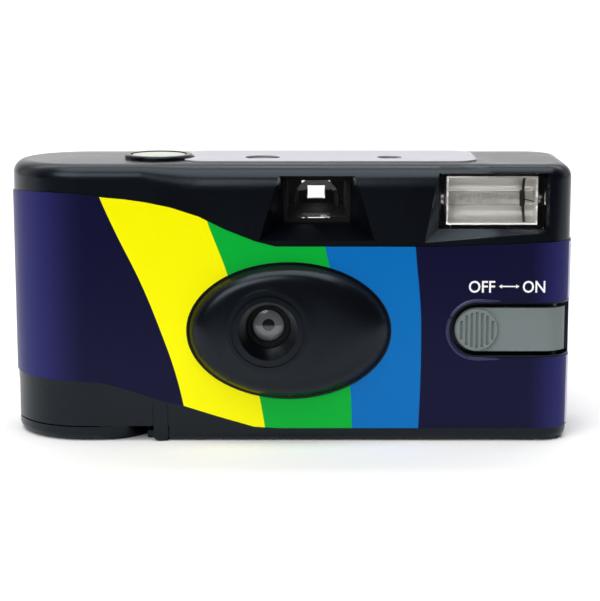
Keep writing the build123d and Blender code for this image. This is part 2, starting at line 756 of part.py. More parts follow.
with BuildPart() as front_cover:
    add(outer_block)
    add(inner_block, mode=Mode.SUBTRACT)
    split(bisect_by=front_plane(SEAM_Y), keep=Keep.TOP)
    add(boss_outer)
    add(boss_room, mode=Mode.SUBTRACT)
    add(lens_cone.part, mode=Mode.SUBTRACT)
    with BuildSketch(front_plane(BOSS_FRONT_Y)):
        with Locations((LENS_X, LENS_Z)):
            Circle(RING_RADIUS)
            Circle(RING_RADIUS - RING_GROOVE, mode=Mode.SUBTRACT)
    extrude(amount=-RING_DEPTH, mode=Mode.SUBTRACT)
    add(hood_wall)
    add(hood_hollow, mode=Mode.SUBTRACT)
    add(flash_wall)
    add(flash_collar)
    add(flash_hollow, mode=Mode.SUBTRACT)
    add(flash_through, mode=Mode.SUBTRACT)
    add(track_lining)
    add(track_cut, mode=Mode.SUBTRACT)
    add(stem_slot, mode=Mode.SUBTRACT)
    with BuildSketch(Plane.XY.offset(top_inside)):
        with Locations((BUTTON_X, BUTTON_Y)):
            Circle(button_ring_radius)
    extrude(amount=WALL + BUTTON_RING_RISE)
    fillet(front_cover.edges().group_by(Axis.Z)[-1], BUTTON_RING_RISE / 2)
    with BuildSketch(Plane.XY.offset(top_inside - CUT_OVERRUN)):
        with Locations((BUTTON_X, BUTTON_Y)):
            Circle(BUTTON_RADIUS + BUTTON_GAP)
    extrude(amount=WALL + 2 * CUT_OVERRUN, mode=Mode.SUBTRACT)
    for hole in window_holes:
        add(hole, mode=Mode.SUBTRACT)
    add(door_room, mode=Mode.SUBTRACT)
    add(latch_window, mode=Mode.SUBTRACT)
    add(latch_step, mode=Mode.SUBTRACT)
    add(front_lug)
    add(front_hinge_pin)
    for x in (lug_left, lug_right):
        with BuildSketch(front_plane(FRONT_Y)):
            with Locations((x, HINGE_LUG_HEIGHT / 2)):
                Rectangle(SEAM_GROOVE, HINGE_LUG_HEIGHT)
        extrude(amount=-SEAM_GROOVE, mode=Mode.SUBTRACT)
front_cover.part.label = "front_cover"
export_step(front_cover.part, "parts/front_cover.step")

# Rear cover: shell with the eyepiece opening, thumb notch, film ribs and snap hooks
notch_z = (WHEEL_TOP_Z + WHEEL_BOTTOM_Z) / 2
notch_height = WHEEL_THICKNESS + 2 * THUMB_NOTCH_MARGIN
notch_floor_y = REAR_Y - THUMB_NOTCH_DEPTH
notch_hollow = funnel(
    rectangle_points(END_X, notch_z, THUMB_NOTCH_WIDTH, notch_height, 0),
    notch_floor_y,
    rectangle_points(END_X, notch_z, THUMB_NOTCH_WIDTH, notch_height, THUMB_NOTCH_FLARE),
    REAR_Y + CUT_OVERRUN,
)
notch_wall = funnel(
    rectangle_points(END_X, notch_z, THUMB_NOTCH_WIDTH, notch_height, THUMB_NOTCH_WALL),
    notch_floor_y - THUMB_NOTCH_WALL,
    rectangle_points(
        END_X, notch_z, THUMB_NOTCH_WIDTH, notch_height, THUMB_NOTCH_WALL + THUMB_NOTCH_FLARE
    ),
    REAR_Y + CUT_OVERRUN,
) & outer_block
wheel_room = z_cylinder(
    END_X, END_Y, WHEEL_RADIUS + FIT_GAP, WHEEL_BOTTOM_Z - FIT_GAP, WHEEL_TOP_Z + FIT_GAP
)
spigot_front_y = REAR_Y - WALL - EYECUP_DEPTH
spigot = slab(
    (FINDER_X - TUNNEL_WIDTH / 2 + FIT_GAP, FINDER_X + TUNNEL_WIDTH / 2 - FIT_GAP),
    (spigot_front_y, REAR_Y - WALL / 2),
    (FINDER_Z - TUNNEL_HEIGHT / 2 + FIT_GAP, FINDER_Z + TUNNEL_HEIGHT / 2 - FIT_GAP),
)
rear_inside = REAR_Y - WALL
film_ribs = [
    slab(
        (LENS_X - FRAME_WIDTH / 2 * RIB_LENGTH_SHARE, LENS_X + FRAME_WIDTH / 2 * RIB_LENGTH_SHARE),
        (FILM_Y + RIB_FROM_FILM, rear_inside + WALL / 2),
        (
            LENS_Z + FILM_WIDTH * share - RIB_THICKNESS / 2,
            LENS_Z + FILM_WIDTH * share + RIB_THICKNESS / 2,
        ),
    )
    for share in RIB_SHARES
]
bottom_hooks = [
    slab(
        (BODY_WIDTH * share - HOOK_WIDTH / 2, BODY_WIDTH * share + HOOK_WIDTH / 2),
        (SEAM_Y - HOOK_REACH, REAR_Y - WALL / 2),
        (WALL + FIT_GAP, WALL + FIT_GAP + HOOK_THICKNESS),
    )
    for share in HOOK_SHARES
]
hook_bases = [
    slab(
        (BODY_WIDTH * share - HOOK_WIDTH / 2, BODY_WIDTH * share + HOOK_WIDTH / 2),
        (SEAM_Y + FIT_GAP, REAR_Y - WALL / 2),
        (WALL / 2, WALL + FIT_GAP + HOOK_THICKNESS),
    )
    for share in HOOK_SHARES
]
rear_lug = hinge_lug(REAR_Y - HINGE_LUG_DEPTH, REAR_Y)
rear_hinge_pin = y_cylinder(
    HINGE_X,
    HINGE_Z,
    HINGE_PIN_RADIUS,
    REAR_Y - HINGE_LUG_DEPTH - HINGE_PIN_LENGTH,
    REAR_Y - HINGE_LUG_DEPTH,
)

with BuildPart() as rear_cover:
    add(outer_block)
    add(inner_block, mode=Mode.SUBTRACT)
    split(bisect_by=front_plane(SEAM_Y), keep=Keep.BOTTOM)
    add(notch_wall)
    add(notch_hollow, mode=Mode.SUBTRACT)
    add(wheel_room, mode=Mode.SUBTRACT)
    add(spigot)
    with BuildSketch(front_plane(REAR_Y)):
        with Locations((FINDER_X, FINDER_Z)):
            RectangleRounded(EYECUP_WIDTH, EYECUP_HEIGHT, EYECUP_DEPTH)
    extrude(amount=EYECUP_DEPTH, mode=Mode.SUBTRACT)
    with BuildSketch(front_plane(REAR_Y)):
        with Locations((FINDER_X, FINDER_Z)):
            Rectangle(EYEPIECE_WIDTH, EYEPIECE_HEIGHT)
    extrude(amount=THUMB_NOTCH_DEPTH, mode=Mode.SUBTRACT)
    for hole in window_holes:
        add(hole, mode=Mode.SUBTRACT)
    for rib in film_ribs:
        add(rib)
    for base, hook in zip(hook_bases, bottom_hooks):
        add(base)
        add(hook)
    add(seam_ring, mode=Mode.SUBTRACT)
    add(latch_step, mode=Mode.SUBTRACT)
    add(door_room, mode=Mode.SUBTRACT)
    add(rear_lug)
    add(rear_hinge_pin)
rear_cover.part.label = "rear_cover"
export_step(rear_cover.part, "parts/rear_cover.step")

# Film door: a shallow tray that closes the cartridge chamber from below
door_edge = lug_left - FIT_GAP
door_side = slab(
    (LEFT_X - CUT_OVERRUN, door_edge), (FRONT_Y - CUT_OVERRUN, REAR_Y + CUT_OVERRUN),
    (-CUT_OVERRUN, DOOR_HEIGHT - FIT_GAP),
)
door_tongue = END_RADIUS * DOOR_TONGUE_SHARE
door_plan = z_cylinder(END_X, END_Y, END_RADIUS, 0, BODY_HEIGHT) + slab(
    (END_X, door_edge), (END_Y - door_tongue, END_Y + door_tongue), (0, BODY_HEIGHT)
)
door_hollow = z_cylinder(
    END_X, END_Y, END_RADIUS - DOOR_RIM, DOOR_THICKNESS, BODY_HEIGHT
) + slab(
    (END_X, door_edge), (END_Y - door_tongue + DOOR_RIM, END_Y + door_tongue - DOOR_RIM),
    (DOOR_THICKNESS, BODY_HEIGHT),
)
mouth_room = slab(
    (END_X, END_X + MOUTH_REACH + FIT_GAP),
    (FILM_Y - GATE_THICKNESS, REAR_Y + CUT_OVERRUN),
    (CARTRIDGE_LIFT + FIT_GAP, BODY_HEIGHT),
)
latch = slab(
    (LEFT_X, LEFT_X + WALL + DOOR_LATCH_INSET + DOOR_LATCH_THICKNESS),
    (END_Y - DOOR_LATCH_WIDTH / 2, END_Y + DOOR_LATCH_WIDTH / 2),
    (DOOR_THICKNESS / 2, DOOR_HEIGHT + DOOR_LATCH_HEIGHT),
) & plan_block(WALL + DOOR_LATCH_INSET, 0, BODY_HEIGHT)
barrel_front = FRONT_Y + HINGE_LUG_DEPTH + CLOSE_GAP
barrel_rear = REAR_Y - HINGE_LUG_DEPTH - CLOSE_GAP

with BuildPart() as cartridge_door:
    add(outer_block)
    add(door_side, mode=Mode.INTERSECT)
    add(door_plan, mode=Mode.INTERSECT)
    add(latch_step, mode=Mode.SUBTRACT)
    add(door_hollow, mode=Mode.SUBTRACT)
    add(mouth_room, mode=Mode.SUBTRACT)
    add(latch)
    add(y_cylinder(HINGE_X, HINGE_Z, HINGE_KNUCKLE_RADIUS, barrel_front, barrel_rear))
    add(slab((door_edge - DOOR_RIM, HINGE_X), (barrel_front, barrel_rear), (lug_base, HINGE_Z)))
    for y in (barrel_front, barrel_rear - HINGE_PIN_LENGTH):
        add(
            y_cylinder(HINGE_X, HINGE_Z, HINGE_PIN_RADIUS + SHAFT_GAP, y, y + HINGE_PIN_LENGTH),
            mode=Mode.SUBTRACT,
        )
cartridge_door.part.label = "cartridge_door"
export_step(cartridge_door.part, "parts/cartridge_door.step")

# Chassis: the moulded frame that carries the film chambers, light tunnel, gate and deck
chamber_inner = CARTRIDGE_RADIUS + CHAMBER_GAP
chamber_outer = chamber_inner + CHASSIS_WALL
chamber_low = DOOR_HEIGHT + FIT_GAP
cartridge_top = CARTRIDGE_LIFT + CARTRIDGE_HEIGHT
roof_low = cartridge_top + CHAMBER_TOP_GAP
roof_top = roof_low + CHAMBER_ROOF
floor_low = FLOOR_TOP_Z - CHASSIS_FLOOR_THICKNESS
gate_front = FILM_Y - GATE_THICKNESS
shutter_wall_y = FRONT_Y + SHUTTER_WALL_FROM_FRONT
supply_inner = SUPPLY_ROLL_RADIUS + 2 * CHAMBER_GAP
supply_outer = supply_inner + CHASSIS_WALL
cradle_left = BATTERY_X - BATTERY_LENGTH / 2 - CONTACT_THICKNESS - BOND_GAP - CHASSIS_WALL
cradle_right = BATTERY_X + BATTERY_LENGTH / 2 + CONTACT_THICKNESS + BOND_GAP
lever_x = BUTTON_X + BUTTON_PIN_SHIFT_X + LEVER_ARM
lever_y = BUTTON_Y + BUTTON_PIN_SHIFT_Y
dial_x = COUNTER_WINDOW_X - DIAL_SHIFT
pawl_post_x = END_X + WHEEL_RADIUS + PAWL_REACH
tunnel_inner = funnel(
    rectangle_points(LENS_X, LENS_Z, TUNNEL_FRONT_WIDTH, TUNNEL_FRONT_HEIGHT, 0),
    shutter_wall_y + CHASSIS_WALL,
    rectangle_points(LENS_X, LENS_Z, FRAME_WIDTH, FRAME_HEIGHT, 0),
    FILM_Y,
)
tunnel_outer = funnel(
    rectangle_points(LENS_X, LENS_Z, TUNNEL_FRONT_WIDTH, TUNNEL_FRONT_HEIGHT, CHASSIS_WALL),
    shutter_wall_y,
    rectangle_points(LENS_X, LENS_Z, FRAME_WIDTH, FRAME_HEIGHT, CHASSIS_WALL),
    FILM_Y,
)
gate_plate = slab(
    (END_X + MOUTH_REACH + FIT_GAP, SUPPLY_X), (gate_front, FILM_Y), (floor_low, DECK_TOP_Z)
)
mouth_web = slab(
    (END_X + MOUTH_REACH - CHASSIS_WALL, END_X + MOUTH_REACH + FIT_GAP + CHASSIS_WALL),
    (gate_front - 2 * CHASSIS_WALL, gate_front - FIT_GAP),
    (chamber_low, DECK_TOP_Z),
)
web_link = slab(
    (END_X + MOUTH_REACH + FIT_GAP, END_X + MOUTH_REACH + FIT_GAP + CHASSIS_WALL),
    (gate_front - 2 * CHASSIS_WALL, FILM_Y),
    (chamber_low, DECK_TOP_Z),
)
rail_bands = [
    (FILM_LOW_Z - FIT_GAP - RAIL_WIDTH, FILM_LOW_Z - FIT_GAP),
    (FILM_HIGH_Z + FIT_GAP, FILM_HIGH_Z + FIT_GAP + RAIL_WIDTH),
]
mouth_opening = slab(
    (END_X, END_X + CARTRIDGE_RADIUS + 2 * CHASSIS_WALL),
    (gate_front - FIT_GAP, REAR_Y),
    (0, roof_low),
)
supply_opening = slab(
    (SUPPLY_X - 2 * supply_outer, SUPPLY_X + supply_outer),
    (FILM_Y, REAR_Y),
    (0, DECK_TOP_Z),
)
deck_left = slab(
    (END_X + CARTRIDGE_RADIUS, FLASH_LEFT_X),
    (HOOD_REAR_Y + FIT_GAP, gate_front),
    (DECK_Z, DECK_TOP_Z),
)
deck_right = slab(
    (FLASH_LEFT_X, SUPPLY_X + supply_outer),
    (FRONT_Y + FLASH_POCKET_DEPTH + REFLECTOR_DEPTH + 2 * WALL, gate_front),
    (DECK_Z, DECK_TOP_Z),
)
tunnel_room = funnel(
    rectangle_points(
        LENS_X, LENS_Z, TUNNEL_FRONT_WIDTH, TUNNEL_FRONT_HEIGHT, CHASSIS_WALL + BOND_GAP
    ),
    shutter_wall_y,
    rectangle_points(LENS_X, LENS_Z, FRAME_WIDTH, FRAME_HEIGHT, CHASSIS_WALL + BOND_GAP),
    FILM_Y,
) & slab((LEFT_X, RIGHT_X), (FRONT_Y, gate_front), (0, BODY_HEIGHT))
shutter_wall = slab(
    (LENS_X - SHUTTER_WALL_WIDTH / 2, LENS_X + SHUTTER_WALL_WIDTH / 2),
    (shutter_wall_y, shutter_wall_y + CHASSIS_WALL),
    (BATTERY_Z + BATTERY_RADIUS + FIT_GAP, DECK_Z - 2 * CHASSIS_WALL),
)
wall_link = slab(
    (LENS_X - TUNNEL_FRONT_WIDTH, LENS_X - TUNNEL_FRONT_WIDTH / 3),
    (shutter_wall_y, HOOD_REAR_Y + 2 * CHASSIS_WALL),
    (DECK_Z - 3 * CHASSIS_WALL, DECK_Z - BOND_GAP),
)
notch_relief = slab(
    (END_X - chamber_outer, END_X + THUMB_NOTCH_WIDTH),
    (notch_floor_y - THUMB_NOTCH_WALL - FIT_GAP, REAR_Y),
    (notch_z - notch_height / 2 - THUMB_NOTCH_WALL - THUMB_NOTCH_FLARE, BODY_HEIGHT),
)
tube_half = TUNNEL_WIDTH / 2 + TUNNEL_WALL
tube_low = FINDER_Z - TUNNEL_HEIGHT / 2 - TUNNEL_WALL
tube_high = FINDER_Z + TUNNEL_HEIGHT / 2 + TUNNEL_WALL
finder_room = slab(
    (FINDER_X - tube_half - BOND_GAP, FINDER_X + tube_half + BOND_GAP),
    (HOOD_REAR_Y, REAR_Y),
    (tube_low - BOND_GAP, BODY_HEIGHT),
)
finder_cradle = [
    slab(
        (x, x + CHASSIS_WALL),
        (HOOD_REAR_Y + HOOD_WALL + FIT_GAP, gate_front),
        (DECK_Z, tube_low + CRADLE_LIP),
    )
    for x in (FINDER_X - tube_half - BOND_GAP - CHASSIS_WALL, FINDER_X + tube_half + BOND_GAP)
]
finder_bed = slab(
    (FINDER_X - tube_half, FINDER_X + tube_half),
    (HOOD_REAR_Y + HOOD_WALL + FIT_GAP, gate_front),
    (DECK_Z, tube_low - BOND_GAP),
)
base_plate = slab(
    (END_X + chamber_inner, SUPPLY_X + supply_outer),
    (BATTERY_Y + BATTERY_RADIUS + FIT_GAP, FILM_Y),
    (floor_low, FLOOR_TOP_Z),
)
door_floor = slab(
    (END_X, door_edge),
    (FRONT_Y + WALL + FIT_GAP, BATTERY_Y + BATTERY_RADIUS),
    (chamber_low, chamber_low + CHASSIS_FLOOR_THICKNESS),
) - z_cylinder(END_X, END_Y, chamber_inner, 0, roof_low)
cradle_ends = [
    slab(
        (x, x + CHASSIS_WALL),
        (BATTERY_Y - BATTERY_RADIUS + FIT_GAP, BATTERY_Y + BATTERY_RADIUS + CHASSIS_WALL),
        (WALL, BATTERY_Z + BATTERY_RADIUS / 2),
    )
    for x in (cradle_left, cradle_right)
]
feet = [
    slab(
        (BODY_WIDTH * share, BODY_WIDTH * share + POST_RADIUS),
        (END_Y - CHASSIS_WALL, END_Y + CHASSIS_WALL),
        (WALL, FLOOR_TOP_Z),
    )
    for share in FOOT_SHARES
]
sprocket_bracket = slab(
    (SPROCKET_X - SHAFT_RADIUS - CHASSIS_WALL, LENS_X - FRAME_WIDTH / 3),
    (SPROCKET_Y - SHAFT_RADIUS - CHASSIS_WALL, gate_front + BOND_GAP),
    (
        SPROCKET_Z - SPROCKET_THICKNESS - CHASSIS_WALL - FIT_GAP,
        SPROCKET_Z - SPROCKET_THICKNESS - FIT_GAP,
    ),
)
sprocket_slot = z_cylinder(
    SPROCKET_X,
    SPROCKET_Y,
    SPROCKET_RADIUS + FIT_GAP,
    SPROCKET_Z - SPROCKET_THICKNESS / 2 - FIT_GAP,
    SPROCKET_Z + SPROCKET_THICKNESS / 2 + FIT_GAP,
)
ear_width = 2 * SHAFT_RADIUS
lever_half = LEVER_WIDTH / 2 + FIT_GAP
lever_ears = [
    slab(
        (lever_x - ear_width / 2, lever_x + ear_width / 2),
        (y, y + CHASSIS_WALL),
        (DECK_Z, LEVER_Z + SHAFT_RADIUS),
    )
    for y in (lever_y - lever_half - CHASSIS_WALL, lever_y + lever_half)
]
board_posts = [
    y_cylinder(
        SUPPLY_X,
        BATTERY_Z + BODY_HEIGHT * share,
        POST_RADIUS,
        BOARD_Y + BOARD_THICKNESS,
        SUPPLY_Y - supply_inner,
    )
    for share in BOARD_POST_SHARES
]
holder_posts = [
    y_cylinder(
        LENS_X + SHUTTER_WALL_WIDTH * share_x,
        LENS_Z + SHUTTER_WALL_WIDTH * share_z,
        POST_RADIUS,
        shutter_wall_y - SHUTTER_SPACE,
        shutter_wall_y,
    )
    for share_x, share_z in HOLDER_POST_SHARES
]
shutter_pin = y_cylinder(
    SHUTTER_X, SHUTTER_Z, SHUTTER_PIN_RADIUS, shutter_wall_y - SHUTTER_SPACE, shutter_wall_y
)
dial_post = z_cylinder(dial_x, DIAL_Y, SHAFT_RADIUS + CHASSIS_WALL, DECK_Z, DIAL_Z - DIAL_HUB - FIT_GAP)
dial_pin = z_cylinder(dial_x, DIAL_Y, SHUTTER_PIN_RADIUS, DECK_Z, DIAL_Z + DIAL_THICKNESS)
pawl_post = slab(
    (pawl_post_x - POST_RADIUS, pawl_post_x + POST_RADIUS),
    (PAWL_Y - 2 * POST_RADIUS, PAWL_Y),
    (DECK_Z, WHEEL_TOP_Z - WHEEL_RIM / 2),
)
pin_x = BUTTON_X + BUTTON_PIN_SHIFT_X
button_guide = slab(
    (pin_x - 2 * SHAFT_RADIUS + CHASSIS_WALL, pin_x + SHAFT_RADIUS),
    (
        lever_y + LEVER_WIDTH / 2 + 2 * SHAFT_RADIUS / 3,
        lever_y + LEVER_WIDTH / 2 + SHAFT_RADIUS + CHASSIS_WALL / 2,
    ),
    (DECK_Z, SPRING_SEAT_Z),
)
button_shelf = slab(
    (pin_x - 2 * SHAFT_RADIUS + CHASSIS_WALL / 2, pin_x + 2 * SHAFT_RADIUS),
    (
        lever_y - 2 * SHAFT_RADIUS + CHASSIS_WALL / 2,
        lever_y + LEVER_WIDTH / 2 + SHAFT_RADIUS + CHASSIS_WALL / 2,
    ),
    (SPRING_SEAT_Z - CHASSIS_WALL, SPRING_SEAT_Z),
)
latch_notch = slab(
    (LEFT_X, END_X - CARTRIDGE_RADIUS / 2), (END_Y - LATCH_NOTCH, END_Y + LATCH_NOTCH), (
        0,
        DOOR_HEIGHT + LATCH_NOTCH,
    )
)

board_rear_y = BOARD_Y + BOARD_THICKNESS
fitted_rooms = [
    finder_room,
    slab(
        (BATTERY_X - BATTERY_LENGTH / 2, BATTERY_X + BATTERY_LENGTH / 2),
        (BATTERY_Y - BATTERY_RADIUS - FIT_GAP, BATTERY_Y + BATTERY_RADIUS + FIT_GAP),
        (BATTERY_Z, BATTERY_Z + BATTERY_RADIUS),
    ),
    slab(
        (
            TRANSFORMER_X - TRANSFORMER_WIDTH / 2 - FIT_GAP,
            TRANSFORMER_X + TRANSFORMER_WIDTH / 2 + FIT_GAP,
        ),
        (board_rear_y, board_rear_y + TRANSFORMER_DEPTH + FIT_GAP),
        (
            TRANSFORMER_Z - TRANSFORMER_HEIGHT / 2 - FIT_GAP,
            TRANSFORMER_Z + TRANSFORMER_HEIGHT / 2 + FIT_GAP,
        ),
    ),
]
hook_rooms = [
    slab(
        (BODY_WIDTH * share - HOOK_WIDTH / 2 - FIT_GAP, BODY_WIDTH * share + HOOK_WIDTH / 2 + FIT_GAP),
        (SEAM_Y - HOOK_REACH - FIT_GAP, REAR_Y),
        (0, WALL + 2 * FIT_GAP + HOOK_THICKNESS),
    )
    for share in HOOK_SHARES
]
fitted_rooms += hook_rooms

with BuildPart() as chassis:
    add(z_cylinder(END_X, END_Y, chamber_outer, chamber_low, roof_top))
    add(z_cylinder(END_X, END_Y, chamber_inner, 0, roof_low), mode=Mode.SUBTRACT)
    add(mouth_opening, mode=Mode.SUBTRACT)
    add(z_cylinder(SUPPLY_X, SUPPLY_Y, supply_outer, floor_low, DECK_TOP_Z))
    add(base_plate)
    add(door_floor)
    add(deck_left)
    add(deck_right)
    add(z_cylinder(SUPPLY_X, SUPPLY_Y, supply_inner, FLOOR_TOP_Z, DECK_Z), mode=Mode.SUBTRACT)
    add(supply_opening, mode=Mode.SUBTRACT)
    add(gate_plate)
    add(mouth_web)
    add(web_link)
    add(z_cylinder(SUPPLY_X, SUPPLY_Y, supply_inner, FLOOR_TOP_Z, DECK_Z), mode=Mode.SUBTRACT)
    for low, high in rail_bands:
        add(
            slab(
                (LENS_X - FRAME_WIDTH / 2, SUPPLY_X - supply_inner),
                (FILM_Y, FILM_Y + 2 * FILM_THICKNESS),
                (low, high),
            )
        )
    add(sprocket_bracket)
    add(tunnel_room, mode=Mode.SUBTRACT)
    add(tunnel_inner, mode=Mode.SUBTRACT)
    for piece in cradle_ends + feet + lever_ears + board_posts + finder_cradle:
        add(piece)
    add(finder_bed)
    add(dial_post)
    add(dial_pin)
    add(pawl_post)
    add(button_guide)
    add(button_shelf)
    add(
        z_cylinder(pin_x, lever_y, BUTTON_PIN_RADIUS + CLOSE_GAP, DECK_Z, BODY_HEIGHT),
        mode=Mode.SUBTRACT,
    )
    add(sprocket_slot, mode=Mode.SUBTRACT)
    add(latch_notch, mode=Mode.SUBTRACT)
    add(notch_relief, mode=Mode.SUBTRACT)
    for x, y, radius, low, high in (
        (END_X, END_Y, WHEEL_HUB_RADIUS, roof_low, roof_top),
        (SPROCKET_X, SPROCKET_Y, SHAFT_RADIUS, FLOOR_TOP_Z, DECK_TOP_Z),
        (SUPPLY_X, SUPPLY_Y, SHAFT_RADIUS, floor_low, DECK_TOP_Z),
    ):
        add(z_cylinder(x, y, radius + SHAFT_GAP, low, high), mode=Mode.SUBTRACT)
    add(
        y_cylinder(
            lever_x,
            LEVER_Z,
            LEVER_PIVOT_RADIUS + SHAFT_GAP,
            lever_y - LEVER_WIDTH,
            lever_y + LEVER_WIDTH,
        ),
        mode=Mode.SUBTRACT,
    )
    for room in fitted_rooms:
        add(room, mode=Mode.SUBTRACT)
chassis.part.label = "chassis"
export_step(chassis.part, "parts/chassis.step")

# Light tunnel: the dark pyramid from shutter to gate, with the shutter's wall and pin
sprocket_shaft_room = z_cylinder(
    SPROCKET_X, SPROCKET_Y, SHAFT_RADIUS + SHAFT_GAP, FLOOR_TOP_Z, DECK_TOP_Z
)
with BuildPart() as light_tunnel:
    add(tunnel_outer)
    with BuildSketch(front_plane(FILM_Y)):
        with Locations((LENS_X, LENS_Z)):
            Rectangle(2 * FRAME_WIDTH, 2 * FRAME_HEIGHT)
    extrude(amount=GATE_THICKNESS + BOND_GAP, mode=Mode.SUBTRACT)
    add(shutter_wall)
    add(wall_link)
    add(tunnel_inner, mode=Mode.SUBTRACT)
    for post in holder_posts:
        add(post)
    add(shutter_pin)
    for step in range(1, BAFFLE_COUNT + 1):
        share = step / (BAFFLE_COUNT + 1)
        baffle_y = shutter_wall_y + (gate_front - shutter_wall_y) * share
        inner_width = TUNNEL_FRONT_WIDTH + (FRAME_WIDTH - TUNNEL_FRONT_WIDTH) * share
        inner_height = TUNNEL_FRONT_HEIGHT + (FRAME_HEIGHT - TUNNEL_FRONT_HEIGHT) * share
        with BuildSketch(front_plane(baffle_y)):
            with Locations((LENS_X, LENS_Z)):
                Rectangle(inner_width + CHASSIS_WALL, inner_height + CHASSIS_WALL)
                Rectangle(inner_width - BAFFLE_LIP, inner_height - BAFFLE_LIP, mode=Mode.SUBTRACT)
        extrude(amount=BAFFLE_THICKNESS)
    add(
        y_cylinder(
            LENS_X,
            LENS_Z,
            SHUTTER_HOLE_RADIUS,
            shutter_wall_y,
            shutter_wall_y + 2 * CHASSIS_WALL,
        ),
        mode=Mode.SUBTRACT,
    )
    add(sprocket_slot, mode=Mode.SUBTRACT)
    add(sprocket_shaft_room, mode=Mode.SUBTRACT)
light_tunnel.part.label = "light_tunnel"
export_step(light_tunnel.part, "parts/light_tunnel.step")

# Finder tube: the square tube that holds both finder panes
with BuildPart() as finder_tube:
    with BuildSketch(front_plane(REAR_Y - WALL - FIT_GAP)):
        with Locations((FINDER_X, FINDER_Z)):
            Rectangle(2 * tube_half, tube_high - tube_low)
            Rectangle(TUNNEL_WIDTH, TUNNEL_HEIGHT, mode=Mode.SUBTRACT)
    extrude(amount=REAR_Y - WALL - FIT_GAP - HOOD_REAR_Y - FIT_GAP)
finder_tube.part.label = "finder_tube"
export_step(finder_tube.part, "parts/finder_tube.step")

# Lens group: holder, meniscus lens, retainer ring and aperture stop
holder_rear_y = shutter_wall_y - SHUTTER_SPACE
holder_front_y = holder_rear_y - HOLDER_THICKNESS
lens_rear_y = holder_front_y
lens_rim_y = lens_rear_y - LENS_THICKNESS
barrel_front_y = lens_rim_y - LENS_CLEAR
barrel_radius = CONE_FRONT_RADIUS - LENS_SEAT_DEPTH

with BuildPart() as lens_holder:
    with BuildSketch(front_plane(holder_rear_y)):
        with Locations((LENS_X, LENS_Z + SHUTTER_WALL_WIDTH * HOLDER_SHIFT_SHARE)):
            RectangleRounded(
                SHUTTER_WALL_WIDTH * HOLDER_WIDTH_SHARE,
                SHUTTER_WALL_WIDTH * HOLDER_HEIGHT_SHARE,
                POST_RADIUS,
            )
    extrude(amount=HOLDER_THICKNESS)
    add(y_cylinder(LENS_X, LENS_Z, barrel_radius, barrel_front_y, holder_rear_y))
    add(
        y_cylinder(LENS_X, LENS_Z, LENS_RADIUS + BOND_GAP, barrel_front_y, lens_rear_y),
        mode=Mode.SUBTRACT,
    )
    add(
        y_cylinder(LENS_X, LENS_Z, LENS_APERTURE, holder_front_y, holder_rear_y),
        mode=Mode.SUBTRACT,
    )
lens_holder.part.label = "lens_holder"
export_step(lens_holder.part, "parts/lens_holder.step")

lens_sag = LENS_CURVE - math.sqrt(LENS_CURVE**2 - LENS_RADIUS**2)
lens_front_y = lens_rim_y - lens_sag
with BuildPart() as taking_lens:
    add(y_cylinder(LENS_X, LENS_Z, LENS_RADIUS, lens_front_y, lens_rear_y))
    with Locations((LENS_X, lens_front_y + LENS_CURVE, LENS_Z)):
        Sphere(LENS_CURVE, mode=Mode.INTERSECT)
    with Locations((LENS_X, lens_rear_y - LENS_HOLLOW + LENS_CURVE, LENS_Z)):
        Sphere(LENS_CURVE, mode=Mode.SUBTRACT)
taking_lens.part.label = "taking_lens"
export_step(taking_lens.part, "parts/taking_lens.step")

with BuildPart() as lens_retainer:
    add(y_cylinder(LENS_X, LENS_Z, barrel_radius, barrel_front_y - RETAINER_THICKNESS, barrel_front_y))
    with BuildSketch(front_plane(barrel_front_y)):
        with Locations((LENS_X, LENS_Z)):
            Circle(LENS_RADIUS - RING_GROOVE)
    extrude(amount=RETAINER_THICKNESS, taper=-2 * LENS_CURVE, mode=Mode.SUBTRACT)
lens_retainer.part.label = "lens_retainer"
export_step(lens_retainer.part, "parts/lens_retainer.step")

with BuildPart() as aperture_stop:
    add(
        y_cylinder(
            LENS_X,
            LENS_Z,
            LENS_APERTURE - BOND_GAP,
            holder_front_y,
            holder_front_y + STOP_THICKNESS,
        )
    )
    add(y_cylinder(LENS_X, LENS_Z, STOP_RADIUS, holder_front_y, holder_rear_y), mode=Mode.SUBTRACT)
aperture_stop.part.label = "aperture_stop"
export_step(aperture_stop.part, "parts/aperture_stop.step")

# Shutter blade: swings on the pin above and to the right of the lens
blade_front_y = shutter_wall_y - (SHUTTER_SPACE + SHUTTER_BLADE_THICKNESS) / 2
with BuildPart() as shutter_blade:
    with BuildSketch(front_plane(blade_front_y + SHUTTER_BLADE_THICKNESS)):
        with BuildSketch(mode=Mode.PRIVATE) as blade_ends:
            with Locations((LENS_X, LENS_Z)):
                Circle(LENS_APERTURE)
            with Locations((SHUTTER_X, SHUTTER_Z)):
                Circle(2 * SHUTTER_PIN_RADIUS)
        add(make_hull(blade_ends.sketch.edges()))
        with BuildSketch(mode=Mode.PRIVATE) as tail_ends:
            with Locations((SHUTTER_X, SHUTTER_Z)):
                Circle(2 * SHUTTER_PIN_RADIUS)
            with Locations((SHUTTER_X + BLADE_TAIL_X, SHUTTER_Z + BLADE_TAIL_Z)):
                Circle(SHUTTER_PIN_RADIUS)
        add(make_hull(tail_ends.sketch.edges()))
        with Locations((SHUTTER_X, SHUTTER_Z)):
            Circle(SHUTTER_PIN_RADIUS + SHAFT_GAP, mode=Mode.SUBTRACT)
    extrude(amount=SHUTTER_BLADE_THICKNESS)
shutter_blade.part.label = "shutter_blade"
export_step(shutter_blade.part, "parts/shutter_blade.step")

